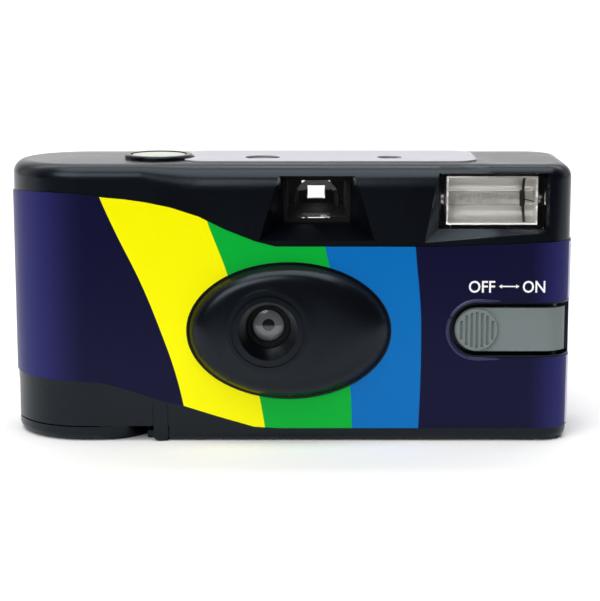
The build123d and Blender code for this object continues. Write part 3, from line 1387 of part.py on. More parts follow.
# Finder windows: a hollowed front lens and a small eyepiece
def finder_pane(front_y, hollow_from_front):
    """A clear pane that fills the finder tunnel, dished on one face."""
    middle = (FINDER_X, FINDER_Z)
    with BuildPart() as pane:
        add(
            slab(
                (FINDER_X - TUNNEL_WIDTH / 2 + BOND_GAP, FINDER_X + TUNNEL_WIDTH / 2 - BOND_GAP),
                (front_y, front_y + FINDER_LENS_THICKNESS),
                (FINDER_Z - TUNNEL_HEIGHT / 2 + BOND_GAP, FINDER_Z + TUNNEL_HEIGHT / 2 - BOND_GAP),
            )
        )
        curve = TUNNEL_WIDTH * FINDER_CURVE_SHARE
        if hollow_from_front:
            dish_y = front_y + FINDER_LENS_HOLLOW - curve
        else:
            dish_y = front_y + FINDER_LENS_THICKNESS - FINDER_LENS_HOLLOW / 2 + curve
        with Locations((middle[0], dish_y, middle[1])):
            Sphere(curve, mode=Mode.SUBTRACT)
    return pane.part


finder_front_lens = finder_pane(HOOD_REAR_Y + FIT_GAP, True)
finder_front_lens.label = "finder_front_lens"
export_step(finder_front_lens, "parts/finder_front_lens.step")

finder_eyepiece = finder_pane(spigot_front_y - FINDER_LENS_THICKNESS, False)
finder_eyepiece.label = "finder_eyepiece"
export_step(finder_eyepiece, "parts/finder_eyepiece.step")

# Counter window and ready light: clear pieces seated from inside the top
def top_window(x, radius, stem_low):
    """A clear plug with a flange under the top wall."""
    with BuildPart() as plug:
        add(
            z_cylinder(
                x,
                TOP_WINDOW_Y,
                radius - BOND_GAP,
                top_inside - WINDOW_FLANGE_THICKNESS,
                BODY_HEIGHT,
            )
        )
        add(
            z_cylinder(
                x, TOP_WINDOW_Y, radius + WINDOW_FLANGE, top_inside - WINDOW_FLANGE_THICKNESS, top_inside
            )
        )
        if stem_low < top_inside - WINDOW_FLANGE_THICKNESS:
            add(z_cylinder(x, TOP_WINDOW_Y, radius - WINDOW_FLANGE, stem_low, BODY_HEIGHT))
    return plug.part


counter_window = top_window(COUNTER_WINDOW_X, COUNTER_WINDOW_RADIUS, BODY_HEIGHT)
counter_window.label = "counter_window"
export_step(counter_window, "parts/counter_window.step")

ready_light = top_window(READY_LIGHT_X, READY_LIGHT_RADIUS, LAMP_TOP_Z + BOND_GAP)
ready_light.label = "ready_light"
export_step(ready_light, "parts/ready_light.step")

with BuildPart() as ready_lamp:
    add(z_cylinder(READY_LIGHT_X, TOP_WINDOW_Y, READY_LIGHT_RADIUS, DECK_TOP_Z, LAMP_TOP_Z))
    fillet(ready_lamp.edges().group_by(Axis.Z)[-1], READY_LIGHT_RADIUS / 2)
ready_lamp.part.label = "ready_lamp"
export_step(ready_lamp.part, "parts/ready_lamp.step")

# Flash group: clear window, reflector trough and xenon tube
with BuildPart() as flash_window:
    add(
        slab(
            (FLASH_X - FLASH_WIDTH / 2 + BOND_GAP, FLASH_X + FLASH_WIDTH / 2 - BOND_GAP),
            (flash_window_y, flash_seat_y),
            (FLASH_BOTTOM + BOND_GAP, FLASH_TOP - BOND_GAP),
        )
    )
    chamfer(flash_window.faces().sort_by(Axis.Y)[0].edges(), WINDOW_CHAMFER)
flash_window.part.label = "flash_window"
export_step(flash_window.part, "parts/flash_window.step")

reflector_front_y = flash_seat_y + BOND_GAP
tube_y = reflector_front_y + TUBE_SETBACK
with BuildPart() as flash_reflector:
    with BuildSketch(Plane.YZ.offset(FLASH_X - REFLECTOR_WIDTH / 2)):
        with Locations((reflector_front_y, FLASH_Z)):
            Ellipse(REFLECTOR_DEPTH, REFLECTOR_HEIGHT / 2)
        with Locations((reflector_front_y - REFLECTOR_DEPTH / 2, FLASH_Z)):
            Rectangle(REFLECTOR_DEPTH, REFLECTOR_HEIGHT, mode=Mode.SUBTRACT)
    extrude(amount=REFLECTOR_WIDTH)
    with BuildSketch(Plane.YZ.offset(FLASH_X - REFLECTOR_WIDTH / 2 + REFLECTOR_WALL)):
        with Locations((reflector_front_y, FLASH_Z)):
            Ellipse(REFLECTOR_DEPTH - REFLECTOR_WALL, REFLECTOR_HEIGHT / 2 - REFLECTOR_WALL)
    extrude(amount=REFLECTOR_WIDTH - 2 * REFLECTOR_WALL, mode=Mode.SUBTRACT)
    with BuildSketch(Plane.YZ.offset(FLASH_X - REFLECTOR_WIDTH)):
        with Locations((tube_y, FLASH_Z)):
            Circle(TUBE_RADIUS + BOND_GAP)
    extrude(amount=2 * REFLECTOR_WIDTH, mode=Mode.SUBTRACT)
flash_reflector.part.label = "flash_reflector"
export_step(flash_reflector.part, "parts/flash_reflector.step")

with BuildPart() as flash_tube:
    with BuildSketch(Plane.YZ.offset(FLASH_X - TUBE_LENGTH / 2)):
        with Locations((tube_y, FLASH_Z)):
            Circle(TUBE_RADIUS)
    extrude(amount=TUBE_LENGTH)
    fillet(flash_tube.edges(), TUBE_RADIUS / 3)
    with BuildSketch(Plane.YZ.offset(FLASH_X - TUBE_LENGTH / 2 - ELECTRODE_LENGTH)):
        with Locations((tube_y, FLASH_Z)):
            Circle(ELECTRODE_RADIUS)
    extrude(amount=TUBE_LENGTH + 2 * ELECTRODE_LENGTH)
flash_tube.part.label = "flash_tube"
export_step(flash_tube.part, "parts/flash_tube.step")

# Flash electronics: board, capacitor, transformer, and the contacts on the board
with BuildPart() as flash_board:
    add(
        slab(
            (BOARD_LEFT_X, BOARD_RIGHT_X),
            (BOARD_Y, BOARD_Y + BOARD_THICKNESS),
            (BOARD_LOW_Z, BOARD_HIGH_Z),
        )
    )
flash_board.part.label = "flash_board"
export_step(flash_board.part, "parts/flash_board.step")

capacitor_low = BOARD_LOW_Z - CAPACITOR_LENGTH * CAPACITOR_DROP_SHARE
capacitor_y = board_rear_y + CAPACITOR_RADIUS
with BuildPart() as flash_capacitor:
    add(
        z_cylinder(
            CAPACITOR_X,
            capacitor_y,
            CAPACITOR_RADIUS,
            capacitor_low,
            capacitor_low + CAPACITOR_LENGTH,
        )
    )
    fillet(flash_capacitor.edges(), CAPACITOR_RADIUS / 8)
flash_capacitor.part.label = "flash_capacitor"
export_step(flash_capacitor.part, "parts/flash_capacitor.step")

core_rim = TRANSFORMER_HEIGHT / 6
with BuildPart() as flash_transformer:
    with Locations((TRANSFORMER_X, board_rear_y + TRANSFORMER_DEPTH / 2, TRANSFORMER_Z)):
        Box(TRANSFORMER_WIDTH, TRANSFORMER_DEPTH, TRANSFORMER_HEIGHT)
    for side in (-1, 1):
        for face in (-1, 1):
            with Locations(
                (
                    TRANSFORMER_X + side * TRANSFORMER_WIDTH / 2,
                    board_rear_y + TRANSFORMER_DEPTH / 2 + face * TRANSFORMER_DEPTH / 2,
                    TRANSFORMER_Z,
                )
            ):
                Box(core_rim, core_rim, TRANSFORMER_HEIGHT - 2 * core_rim, mode=Mode.SUBTRACT)
flash_transformer.part.label = "flash_transformer"
export_step(flash_transformer.part, "parts/flash_transformer.step")

# Battery and its two contact plates
battery_left = BATTERY_X - BATTERY_LENGTH / 2
battery_right = BATTERY_X + BATTERY_LENGTH / 2
with BuildPart() as battery:
    with BuildSketch(Plane.YZ.offset(battery_left)):
        with Locations((BATTERY_Y, BATTERY_Z)):
            Circle(BATTERY_RADIUS)
    extrude(amount=BATTERY_LENGTH - BATTERY_NUB)
    fillet(battery.edges(), BATTERY_NUB / 2)
    with BuildSketch(Plane.YZ.offset(battery_right - 2 * BATTERY_NUB)):
        with Locations((BATTERY_Y, BATTERY_Z)):
            Circle(BATTERY_NUB_RADIUS)
    extrude(amount=2 * BATTERY_NUB)
battery.part.label = "battery"
export_step(battery.part, "parts/battery.step")


def contact_plate(x):
    """A sprung plate that stands in one end of the battery cradle."""
    with BuildPart() as plate:
        with BuildSketch(Plane.YZ.offset(x)):
            with Locations((BATTERY_Y, BATTERY_Z)):
                RectangleRounded(CONTACT_HEIGHT, CONTACT_HEIGHT, CONTACT_HEIGHT / 6)
            with Locations((BATTERY_Y, BATTERY_Z + CONTACT_HEIGHT / 2)):
                Rectangle(CONTACT_HEIGHT / 4, CONTACT_HEIGHT / 2)
        extrude(amount=CONTACT_THICKNESS)
    return plate.part


contact_negative = contact_plate(battery_left - BOND_GAP / 2 - CONTACT_THICKNESS)
contact_negative.label = "contact_negative"
export_step(contact_negative, "parts/contact_negative.step")

contact_positive = contact_plate(battery_right + BOND_GAP / 2)
contact_positive.label = "contact_positive"
export_step(contact_positive, "parts/contact_positive.step")

# Leaf contacts: one on the board for the switch, one above the shutter for the flash
with BuildPart() as switch_contact:
    leaf_x = stem_start + STEM_WIDTH + SWITCH_TRAVEL
    add(
        slab(
            (leaf_x, leaf_x + LEAF_WIDTH),
            (BOARD_Y - LEAF_THICKNESS, BOARD_Y),
            (SWITCH_Z - LEAF_LENGTH, SWITCH_Z + LEAF_WIDTH),
        )
    )
    add(
        slab(
            (leaf_x, leaf_x + LEAF_WIDTH),
            (BOARD_Y - LEAF_RISE, BOARD_Y),
            (SWITCH_Z - LEAF_LENGTH, SWITCH_Z - LEAF_LENGTH + LEAF_THICKNESS),
        )
    )
switch_contact.part.label = "switch_contact"
export_step(switch_contact.part, "parts/switch_contact.step")

with BuildPart() as sync_contact:
    sync_x = SHUTTER_X + BLADE_TAIL_X
    sync_z = SHUTTER_Z + BLADE_TAIL_Z + LEAF_WIDTH
    add(
        slab(
            (sync_x, BOARD_LEFT_X + LEAF_WIDTH),
            (BOARD_Y - LEAF_THICKNESS, BOARD_Y),
            (sync_z, sync_z + LEAF_WIDTH),
        )
    )
sync_contact.part.label = "sync_contact"
export_step(sync_contact.part, "parts/sync_contact.step")

# Flash switch: a plate that follows the front corner, with a ribbed round grip
plate_front_y = FRONT_Y + SWITCH_FACE_INSET
plate_rear_y = plate_front_y + SWITCH_THICKNESS
tail_y = FRONT_Y + FRONT_CORNER * (1 - math.cos(math.radians(SWITCH_TAIL_ANGLE)))
track_floor_y = FRONT_Y + SWITCH_RECESS_DEPTH
track_back_y = track_floor_y + SWITCH_FLOOR
grip_radius = SWITCH_HEIGHT / 2 - GRIP_RIM / 3
switch_skin = plan_block(SWITCH_FACE_INSET, 0, BODY_HEIGHT) - plan_block(
    SWITCH_FACE_INSET + SWITCH_THICKNESS, 0, BODY_HEIGHT
)
with BuildPart() as flash_switch:
    add(switch_slot(0, FRONT_Y, tail_y) & switch_skin)
    add(y_cylinder(SWITCH_X, SWITCH_Z, grip_radius, plate_front_y - GRIP_RISE, plate_front_y))
    fillet(flash_switch.faces().sort_by(Axis.Y)[0].edges(), GRIP_RISE / 3)
    rib_room = 2 * (grip_radius - GRIP_RIM) / GRIP_RIB_COUNT
    with BuildSketch(front_plane(plate_front_y - GRIP_RISE)):
        for n in range(GRIP_RIB_COUNT):
            groove_x = (n - (GRIP_RIB_COUNT - 1) / 2) * rib_room
            groove_half = math.sqrt((grip_radius - GRIP_RIM) ** 2 - groove_x**2)
            with Locations((SWITCH_X + groove_x, SWITCH_Z)):
                Rectangle(rib_room - GRIP_RIB_WIDTH, 2 * groove_half)
    extrude(amount=-GRIP_RIB_DEPTH, mode=Mode.SUBTRACT)
    add(
        slab(
            (stem_start, stem_start + STEM_WIDTH),
            (plate_rear_y - SWITCH_THICKNESS / 2, track_back_y + 2 * FIT_GAP),
            (SWITCH_Z - STEM_HEIGHT / 2, SWITCH_Z + STEM_HEIGHT / 2),
        )
    )
    add(
        slab(
            (stem_start, stem_start + STEM_WIDTH),
            (track_back_y + FIT_GAP, track_back_y + STEM_LIP),
            (SWITCH_Z - STEM_HEIGHT / 2 - STEM_LIP, SWITCH_Z + STEM_HEIGHT / 2 + STEM_LIP),
        )
    )
flash_switch.part.label = "flash_switch"
export_step(flash_switch.part, "parts/flash_switch.step")

# Shutter button: a dished cap with a flange, an under recess and an offset pin
flange_high = top_inside - BOND_GAP
flange_low = flange_high - BUTTON_FLANGE_THICKNESS
button_top = BODY_HEIGHT + BUTTON_RISE
recess_high = flange_low + BUTTON_RECESS_DEPTH
with BuildPart() as shutter_button:
    add(z_cylinder(BUTTON_X, BUTTON_Y, BUTTON_RADIUS, flange_low, button_top))
    fillet(shutter_button.edges().group_by(Axis.Z)[-1], BUTTON_DISH / 2)
    add(z_cylinder(BUTTON_X, BUTTON_Y, BUTTON_RADIUS + BUTTON_FLANGE, flange_low, flange_high))
    with Locations((BUTTON_X, BUTTON_Y, button_top - BUTTON_DISH + BUTTON_DISH_CURVE)):
        Sphere(BUTTON_DISH_CURVE, mode=Mode.SUBTRACT)
    add(
        z_cylinder(BUTTON_X, BUTTON_Y, BUTTON_RECESS_RADIUS, flange_low, recess_high),
        mode=Mode.SUBTRACT,
    )
    add(
        z_cylinder(
            pin_x,
            lever_y,
            BUTTON_PIN_RADIUS,
            LEVER_Z + LEVER_THICKNESS / 2 + BUTTON_PIN_CLEAR,
            recess_high + BUTTON_DISH,
        )
    )
shutter_button.part.label = "shutter_button"
export_step(shutter_button.part, "parts/shutter_button.step")

spring_low = SPRING_SEAT_Z + BUTTON_SPRING_WIRE
spring_high = recess_high - BUTTON_SPRING_WIRE
with BuildPart() as button_spring:
    with BuildLine():
        coil = Helix(
            pitch=(spring_high - spring_low) / BUTTON_SPRING_TURNS,
            height=spring_high - spring_low,
            radius=BUTTON_SPRING_RADIUS,
            center=(pin_x, lever_y, spring_low),
        )
    with BuildSketch(Plane(origin=coil @ 0, z_dir=coil % 0)):
        Circle(BUTTON_SPRING_WIRE)
    sweep(is_frenet=True)
button_spring.part.label = "button_spring"
export_step(button_spring.part, "parts/button_spring.step")

# Release lever under the button's pin
with BuildPart() as release_lever:
    add(
        slab(
            (lever_x - LEVER_LEFT, lever_x + LEVER_RIGHT),
            (lever_y - LEVER_WIDTH / 2, lever_y + LEVER_WIDTH / 2),
            (LEVER_Z - LEVER_THICKNESS / 2, LEVER_Z + LEVER_THICKNESS / 2),
        )
    )
    fillet(release_lever.edges().filter_by(Axis.Y), LEVER_THICKNESS / 4)
    add(
        y_cylinder(
            lever_x,
            LEVER_Z,
            LEVER_PIVOT_RADIUS,
            lever_y - lever_half - CHASSIS_WALL,
            lever_y + lever_half + CHASSIS_WALL,
        )
    )
release_lever.part.label = "release_lever"
export_step(release_lever.part, "parts/release_lever.step")

# Thumbwheel with its hub, and the pawl that stops it turning back
bore_radius = SPOOL_KEY_RADIUS + CARTRIDGE_WALL
nose_top = cartridge_top + SPOOL_NOSE
wheel_middle = (WHEEL_TOP_Z + WHEEL_BOTTOM_Z) / 2
with BuildPart() as thumbwheel:
    with BuildSketch(Plane.XY.offset(WHEEL_BOTTOM_Z)):
        with Locations((END_X, END_Y)):
            Circle(WHEEL_RADIUS)
            with PolarLocations(WHEEL_RADIUS, WHEEL_TOOTH_COUNT):
                Rectangle(WHEEL_TOOTH_DEPTH * 2, WHEEL_TOOTH_DEPTH, rotation=45, mode=Mode.SUBTRACT)
    extrude(amount=WHEEL_THICKNESS)
    with BuildSketch(Plane.XY.offset(WHEEL_BOTTOM_Z)):
        with Locations((END_X, END_Y)):
            Circle(WHEEL_RADIUS - WHEEL_RIM)
    extrude(amount=WHEEL_THICKNESS, mode=Mode.SUBTRACT)
    add(
        z_cylinder(
            END_X,
            END_Y,
            WHEEL_RADIUS - WHEEL_RIM,
            wheel_middle - WHEEL_WEB / 2,
            wheel_middle + WHEEL_WEB / 2,
        )
    )
    add(z_cylinder(END_X, END_Y, WHEEL_HUB_RADIUS, roof_low, WHEEL_TOP_Z))
    add(z_cylinder(END_X, END_Y, WHEEL_PIVOT_RADIUS, WHEEL_TOP_Z, top_inside - FIT_GAP))
    add(
        z_cylinder(END_X, END_Y, bore_radius + BOND_GAP, roof_low, nose_top + BOND_GAP),
        mode=Mode.SUBTRACT,
    )
thumbwheel.part.label = "thumbwheel"
export_step(thumbwheel.part, "parts/thumbwheel.step")

with BuildPart() as wheel_pawl:
    pawl_tip = math.sqrt((WHEEL_RADIUS + FIT_GAP) ** 2 - (END_Y - PAWL_Y - PAWL_THICKNESS) ** 2)
    add(
        slab(
            (END_X + pawl_tip, pawl_post_x + POST_RADIUS),
            (PAWL_Y, PAWL_Y + PAWL_THICKNESS),
            (wheel_middle - PAWL_HEIGHT / 2, wheel_middle + PAWL_HEIGHT / 2),
        )
    )
wheel_pawl.part.label = "wheel_pawl"
export_step(wheel_pawl.part, "parts/wheel_pawl.step")

# Film cartridge: shell with a slotted mouth, two caps and the spool inside
shell_radius = CARTRIDGE_RADIUS - CARTRIDGE_CAP_LIP
cap_low_top = CARTRIDGE_LIFT + CARTRIDGE_CAP
cap_high_low = cartridge_top - CARTRIDGE_CAP
mouth_high_y = FILM_Y + FILM_THICKNESS + 2 * FIT_GAP
with BuildPart() as cartridge_shell:
    add(z_cylinder(END_X, END_Y, shell_radius, cap_low_top, cap_high_low))
    with BuildSketch(Plane.XY.offset(cap_low_top)):
        with BuildLine():
            Polyline(
                (END_X - MOUTH_REACH / 6, END_Y + shell_radius - CARTRIDGE_WALL),
                (END_X + MOUTH_REACH / 6, mouth_high_y),
                (END_X + MOUTH_REACH, mouth_high_y),
                (END_X + MOUTH_REACH, gate_front + CARTRIDGE_WALL),
                (END_X, gate_front + CARTRIDGE_WALL),
                close=True,
            )
        make_face()
    extrude(amount=cap_high_low - cap_low_top)
    add(z_cylinder(END_X, END_Y, shell_radius - CARTRIDGE_WALL, 0, BODY_HEIGHT), mode=Mode.SUBTRACT)
    add(
        slab(
            (END_X + MOUTH_REACH / 12, END_X + MOUTH_REACH * 2),
            (FILM_Y - BOND_GAP, FILM_Y + FILM_THICKNESS + 2 * BOND_GAP),
            (FILM_LOW_Z - FIT_GAP, FILM_HIGH_Z + FIT_GAP),
        ),
        mode=Mode.SUBTRACT,
    )
cartridge_shell.part.label = "cartridge_shell"
export_step(cartridge_shell.part, "parts/cartridge_shell.step")


def cartridge_end(low, lip_low, lip_high):
    """A pressed end cap with a rolled lip and a bearing hole for the spool."""
    with BuildPart() as cap:
        add(z_cylinder(END_X, END_Y, shell_radius, low, low + CARTRIDGE_CAP))
        with BuildSketch(Plane.XY.offset(lip_low)):
            with Locations((END_X, END_Y)):
                Circle(CARTRIDGE_RADIUS)
                Circle(shell_radius - BOND_GAP, mode=Mode.SUBTRACT)
        extrude(amount=lip_high - lip_low)
        add(z_cylinder(END_X, END_Y, bore_radius + SHAFT_GAP, 0, BODY_HEIGHT), mode=Mode.SUBTRACT)
        with BuildSketch(Plane.XY.offset(low)):
            with Locations((END_X, END_Y)):
                Circle((bore_radius + shell_radius) / 2 + CARTRIDGE_WALL)
                Circle((bore_radius + shell_radius) / 2 - CARTRIDGE_WALL, mode=Mode.SUBTRACT)
        extrude(amount=CARTRIDGE_CAP / 3, mode=Mode.SUBTRACT)
    return cap.part


cartridge_foot = cartridge_end(CARTRIDGE_LIFT, CARTRIDGE_LIFT, cap_low_top)
cartridge_foot.label = "cartridge_foot"
export_step(cartridge_foot, "parts/cartridge_foot.step")

cartridge_cap = cartridge_end(cap_high_low, cap_high_low, cartridge_top)
cartridge_cap.label = "cartridge_cap"
export_step(cartridge_cap, "parts/cartridge_cap.step")

with BuildPart() as film_spool:
    add(z_cylinder(END_X, END_Y, bore_radius, CARTRIDGE_LIFT, nose_top))
    add(z_cylinder(END_X, END_Y, SPOOL_RADIUS, cap_low_top + FIT_GAP, cap_high_low - FIT_GAP))
    add(
        z_cylinder(END_X, END_Y, SPOOL_KEY_RADIUS, CARTRIDGE_LIFT, cap_low_top + 2 * SPOOL_NOSE),
        mode=Mode.SUBTRACT,
    )
    add(
        z_cylinder(END_X, END_Y, SPOOL_KEY_RADIUS, cap_high_low - SPOOL_NOSE, nose_top),
        mode=Mode.SUBTRACT,
    )
    for low, high in ((cap_low_top + SPOOL_NOSE, cap_low_top + 2 * SPOOL_NOSE), (cap_high_low, nose_top)):
        add(
            slab(
                (END_X - SPOOL_KEY_BAR / 2, END_X + SPOOL_KEY_BAR / 2),
                (
                    END_Y - SPOOL_KEY_RADIUS - CARTRIDGE_WALL / 2,
                    END_Y + SPOOL_KEY_RADIUS + CARTRIDGE_WALL / 2,
                ),
                (low, high),
            )
        )
film_spool.part.label = "film_spool"
export_step(film_spool.part, "parts/film_spool.step")

# Film: the flat span behind the gate, carried round the outside of the supply roll
film_face = FILM_Y + BOND_GAP
wrap_radius = film_face - SUPPLY_Y
with BuildPart() as film_strip:
    with BuildSketch(Plane.XY.offset(FILM_LOW_Z)):
        with Locations(((END_X + MOUTH_REACH / 6 + SUPPLY_X) / 2, film_face + FILM_THICKNESS / 2)):
            Rectangle(SUPPLY_X - END_X - MOUTH_REACH / 6, FILM_THICKNESS)
        with BuildLine():
            CenterArc((SUPPLY_X, SUPPLY_Y), wrap_radius, -FILM_WRAP_ANGLE + 90, FILM_WRAP_ANGLE)
            CenterArc(
                (SUPPLY_X, SUPPLY_Y),
                wrap_radius + FILM_THICKNESS,
                -FILM_WRAP_ANGLE + 90,
                FILM_WRAP_ANGLE,
            )
            for degrees in (90 - FILM_WRAP_ANGLE, 90):
                turn = math.radians(degrees)
                Line(
                    (SUPPLY_X + wrap_radius * math.cos(turn), SUPPLY_Y + wrap_radius * math.sin(turn)),
                    (
                        SUPPLY_X + (wrap_radius + FILM_THICKNESS) * math.cos(turn),
                        SUPPLY_Y + (wrap_radius + FILM_THICKNESS) * math.sin(turn),
                    ),
                )
        make_face()
    extrude(amount=FILM_WIDTH)
    with BuildSketch(front_plane(film_face - FILM_THICKNESS)):
        for n in range(PERFORATION_COUNT):
            hole_x = SPROCKET_X + (n + PERFORATION_FIRST) * PERFORATION_PITCH
            for hole_z in (FILM_LOW_Z + PERFORATION_FROM_EDGE, FILM_HIGH_Z - PERFORATION_FROM_EDGE):
                with Locations((hole_x, hole_z)):
                    Rectangle(PERFORATION_WIDTH, PERFORATION_HEIGHT)
    extrude(amount=-3 * FILM_THICKNESS, mode=Mode.SUBTRACT)
film_strip.part.label = "film_strip"
export_step(film_strip.part, "parts/film_strip.step")

with BuildPart() as film_roll:
    add(z_cylinder(SUPPLY_X, SUPPLY_Y, SUPPLY_ROLL_RADIUS - CLOSE_GAP, FILM_LOW_Z, FILM_HIGH_Z))
    add(
        z_cylinder(SUPPLY_X, SUPPLY_Y, SUPPLY_CORE_RADIUS + BOND_GAP, 0, BODY_HEIGHT),
        mode=Mode.SUBTRACT,
    )
film_roll.part.label = "film_roll"
export_step(film_roll.part, "parts/film_roll.step")

flange_radius = supply_inner - FIT_GAP
with BuildPart() as supply_spool:
    add(z_cylinder(SUPPLY_X, SUPPLY_Y, SUPPLY_CORE_RADIUS, FLOOR_TOP_Z + FIT_GAP, DECK_Z - FIT_GAP))
    add(z_cylinder(SUPPLY_X, SUPPLY_Y, SHAFT_RADIUS, floor_low, DECK_TOP_Z))
    add(
        z_cylinder(
            SUPPLY_X,
            SUPPLY_Y,
            flange_radius,
            FLOOR_TOP_Z + FIT_GAP,
            FLOOR_TOP_Z + FIT_GAP + SUPPLY_FLANGE,
        )
    )
    add(
        z_cylinder(
            SUPPLY_X,
            SUPPLY_Y,
            flange_radius,
            DECK_Z - FIT_GAP - SUPPLY_FLANGE,
            DECK_Z - FIT_GAP,
        )
    )
supply_spool.part.label = "supply_spool"
export_step(supply_spool.part, "parts/supply_spool.step")

# Sprocket: eight teeth in the upper perforations, with the metering cam above the deck
cam_low = DECK_TOP_Z + FIT_GAP
with BuildPart() as sprocket:
    with BuildSketch(Plane.XY.offset(SPROCKET_Z - SPROCKET_THICKNESS / 2)):
        with Locations((SPROCKET_X, SPROCKET_Y)):
            Circle(SPROCKET_ROOT)
            with PolarLocations(0, SPROCKET_TEETH, start_angle=90):
                with Locations((SPROCKET_ROOT, 0)):
                    Trapezoid(
                        SPROCKET_TOOTH_WIDTH,
                        2 * (SPROCKET_RADIUS - SPROCKET_ROOT),
                        80,
                        rotation=-90,
                    )
    extrude(amount=SPROCKET_THICKNESS)
    add(
        z_cylinder(
            SPROCKET_X,
            SPROCKET_Y,
            SHAFT_RADIUS,
            SPROCKET_Z - 2 * SPROCKET_THICKNESS,
            cam_low + CAM_THICKNESS,
        )
    )
    with BuildSketch(Plane.XY.offset(cam_low)):
        with Locations((SPROCKET_X, SPROCKET_Y)):
            Circle(CAM_RADIUS)
            with Locations((0, -CAM_RADIUS)):
                Circle(CAM_RADIUS / 3, mode=Mode.SUBTRACT)
    extrude(amount=CAM_THICKNESS)
sprocket.part.label = "sprocket"
export_step(sprocket.part, "parts/sprocket.step")

with BuildPart() as counter_dial:
    add(z_cylinder(dial_x, DIAL_Y, DIAL_RADIUS, DIAL_Z, DIAL_Z + DIAL_THICKNESS))
    with BuildSketch(Plane.XY.offset(DIAL_Z)):
        with Locations((dial_x, DIAL_Y)):
            with PolarLocations(DIAL_RADIUS, DIAL_TEETH):
                Circle(DIAL_THICKNESS / 3)
    extrude(amount=DIAL_THICKNESS, mode=Mode.SUBTRACT)
    add(z_cylinder(dial_x, DIAL_Y, SHAFT_RADIUS + CHASSIS_WALL, DIAL_Z - DIAL_HUB, DIAL_Z))
    add(z_cylinder(dial_x, DIAL_Y, SHUTTER_PIN_RADIUS + SHAFT_GAP, 0, BODY_HEIGHT), mode=Mode.SUBTRACT)
counter_dial.part.label = "counter_dial"
export_step(counter_dial.part, "parts/counter_dial.step")

# Paper label wrapped round the body, and the strip on the top
label_inner = -BOND_GAP
label_outer = -BOND_GAP - LABEL_THICKNESS


def label_cutter(top_shares, low_y, high_y):
    """The label's outline, swept through the body from low_y to high_y."""
    points = [(x * BODY_WIDTH, z * BODY_HEIGHT) for x, z in top_shares + LABEL_BASE_SHARES]
    with BuildPart() as sweep_block:
        with BuildSketch(front_plane(high_y)):
            with BuildLine():
                Polyline(*points, close=True)
            make_face()
        extrude(amount=high_y - low_y)
    return sweep_block.part


label_shell = plan_block(label_outer, 0, BODY_HEIGHT) - plan_block(label_inner, 0, BODY_HEIGHT)
with BuildPart() as boss_opening:
    with BuildSketch(front_plane(END_Y)):
        with Locations((BOSS_X, BOSS_Z)):
            Ellipse(BOSS_WIDTH / 2 + LABEL_MARGIN, BOSS_HEIGHT / 2 + LABEL_MARGIN)
    extrude(amount=BODY_DEPTH)
switch_opening = switch_slot(
    SWITCH_GAP + LABEL_MARGIN, FRONT_Y - CUT_OVERRUN, FRONT_Y + FRONT_CORNER + LABEL_MARGIN
)
with BuildPart() as wrap_label:
    add(label_cutter(LABEL_TOP_SHARES, FRONT_Y - CUT_OVERRUN, END_Y))
    add(label_cutter(LABEL_REAR_TOP_SHARES, END_Y, REAR_Y + CUT_OVERRUN))
    add(label_shell, mode=Mode.INTERSECT)
    add(boss_opening.part, mode=Mode.SUBTRACT)
    add(switch_opening, mode=Mode.SUBTRACT)
wrap_label.part.label = "wrap_label"
export_step(wrap_label.part, "parts/wrap_label.step")

strip_left = BUTTON_X + BUTTON_RADIUS
strip_right = LENS_X + TOP_LABEL_RIGHT_FROM_LENS
strip_front = FRONT_Y + TOP_LABEL_FRONT_INSET
strip_rear = REAR_Y - TOP_LABEL_REAR_INSET
with BuildPart() as top_label:
    with BuildSketch(Plane.XY.offset(BODY_HEIGHT + BOND_GAP)):
        with Locations(((strip_left + strip_right) / 2, (strip_front + strip_rear) / 2)):
            RectangleRounded(strip_right - strip_left, strip_rear - strip_front, TOP_LABEL_CORNER)
        with Locations((BUTTON_X, BUTTON_Y)):
            Circle(button_ring_radius + LABEL_MARGIN, mode=Mode.SUBTRACT)
        for x, radius in ((COUNTER_WINDOW_X, COUNTER_WINDOW_RADIUS), (READY_LIGHT_X, READY_LIGHT_RADIUS)):
            with Locations((x, TOP_WINDOW_Y)):
                Circle(radius + LABEL_MARGIN, mode=Mode.SUBTRACT)
    extrude(amount=LABEL_THICKNESS)
top_label.part.label = "top_label"
export_step(top_label.part, "parts/top_label.step")
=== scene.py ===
"""Looks of a single-use film camera, laid out as a Blender add-on and run as a script.

The camera's solids come from the frame. This file gives them their finishes and adds the
small pieces that are printed, wound or soldered on: words, dial figures, wires and board parts.
"""

import math

import bmesh
import bpy
import numpy as np
from bpy.props import FloatProperty, FloatVectorProperty, IntProperty, PointerProperty
from bpy.types import Operator, Panel, PropertyGroup
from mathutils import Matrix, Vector


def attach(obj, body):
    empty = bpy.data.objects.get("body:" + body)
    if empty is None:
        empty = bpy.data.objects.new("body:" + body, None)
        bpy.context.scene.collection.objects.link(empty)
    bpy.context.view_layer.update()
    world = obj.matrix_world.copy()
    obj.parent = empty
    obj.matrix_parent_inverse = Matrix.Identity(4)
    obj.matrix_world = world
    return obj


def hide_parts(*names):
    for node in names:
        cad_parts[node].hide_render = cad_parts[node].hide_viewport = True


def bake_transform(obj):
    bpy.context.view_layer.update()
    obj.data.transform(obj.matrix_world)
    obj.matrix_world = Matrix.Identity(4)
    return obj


bl_info = {
    "name": "Film camera looks",
    "version": (1, 0, 0),
    "blender": (4, 5, 0),
    "location": "3D View > Sidebar > Film camera",
    "description": "Finishes and small pieces of a single-use film camera",
    "category": "Object",
}

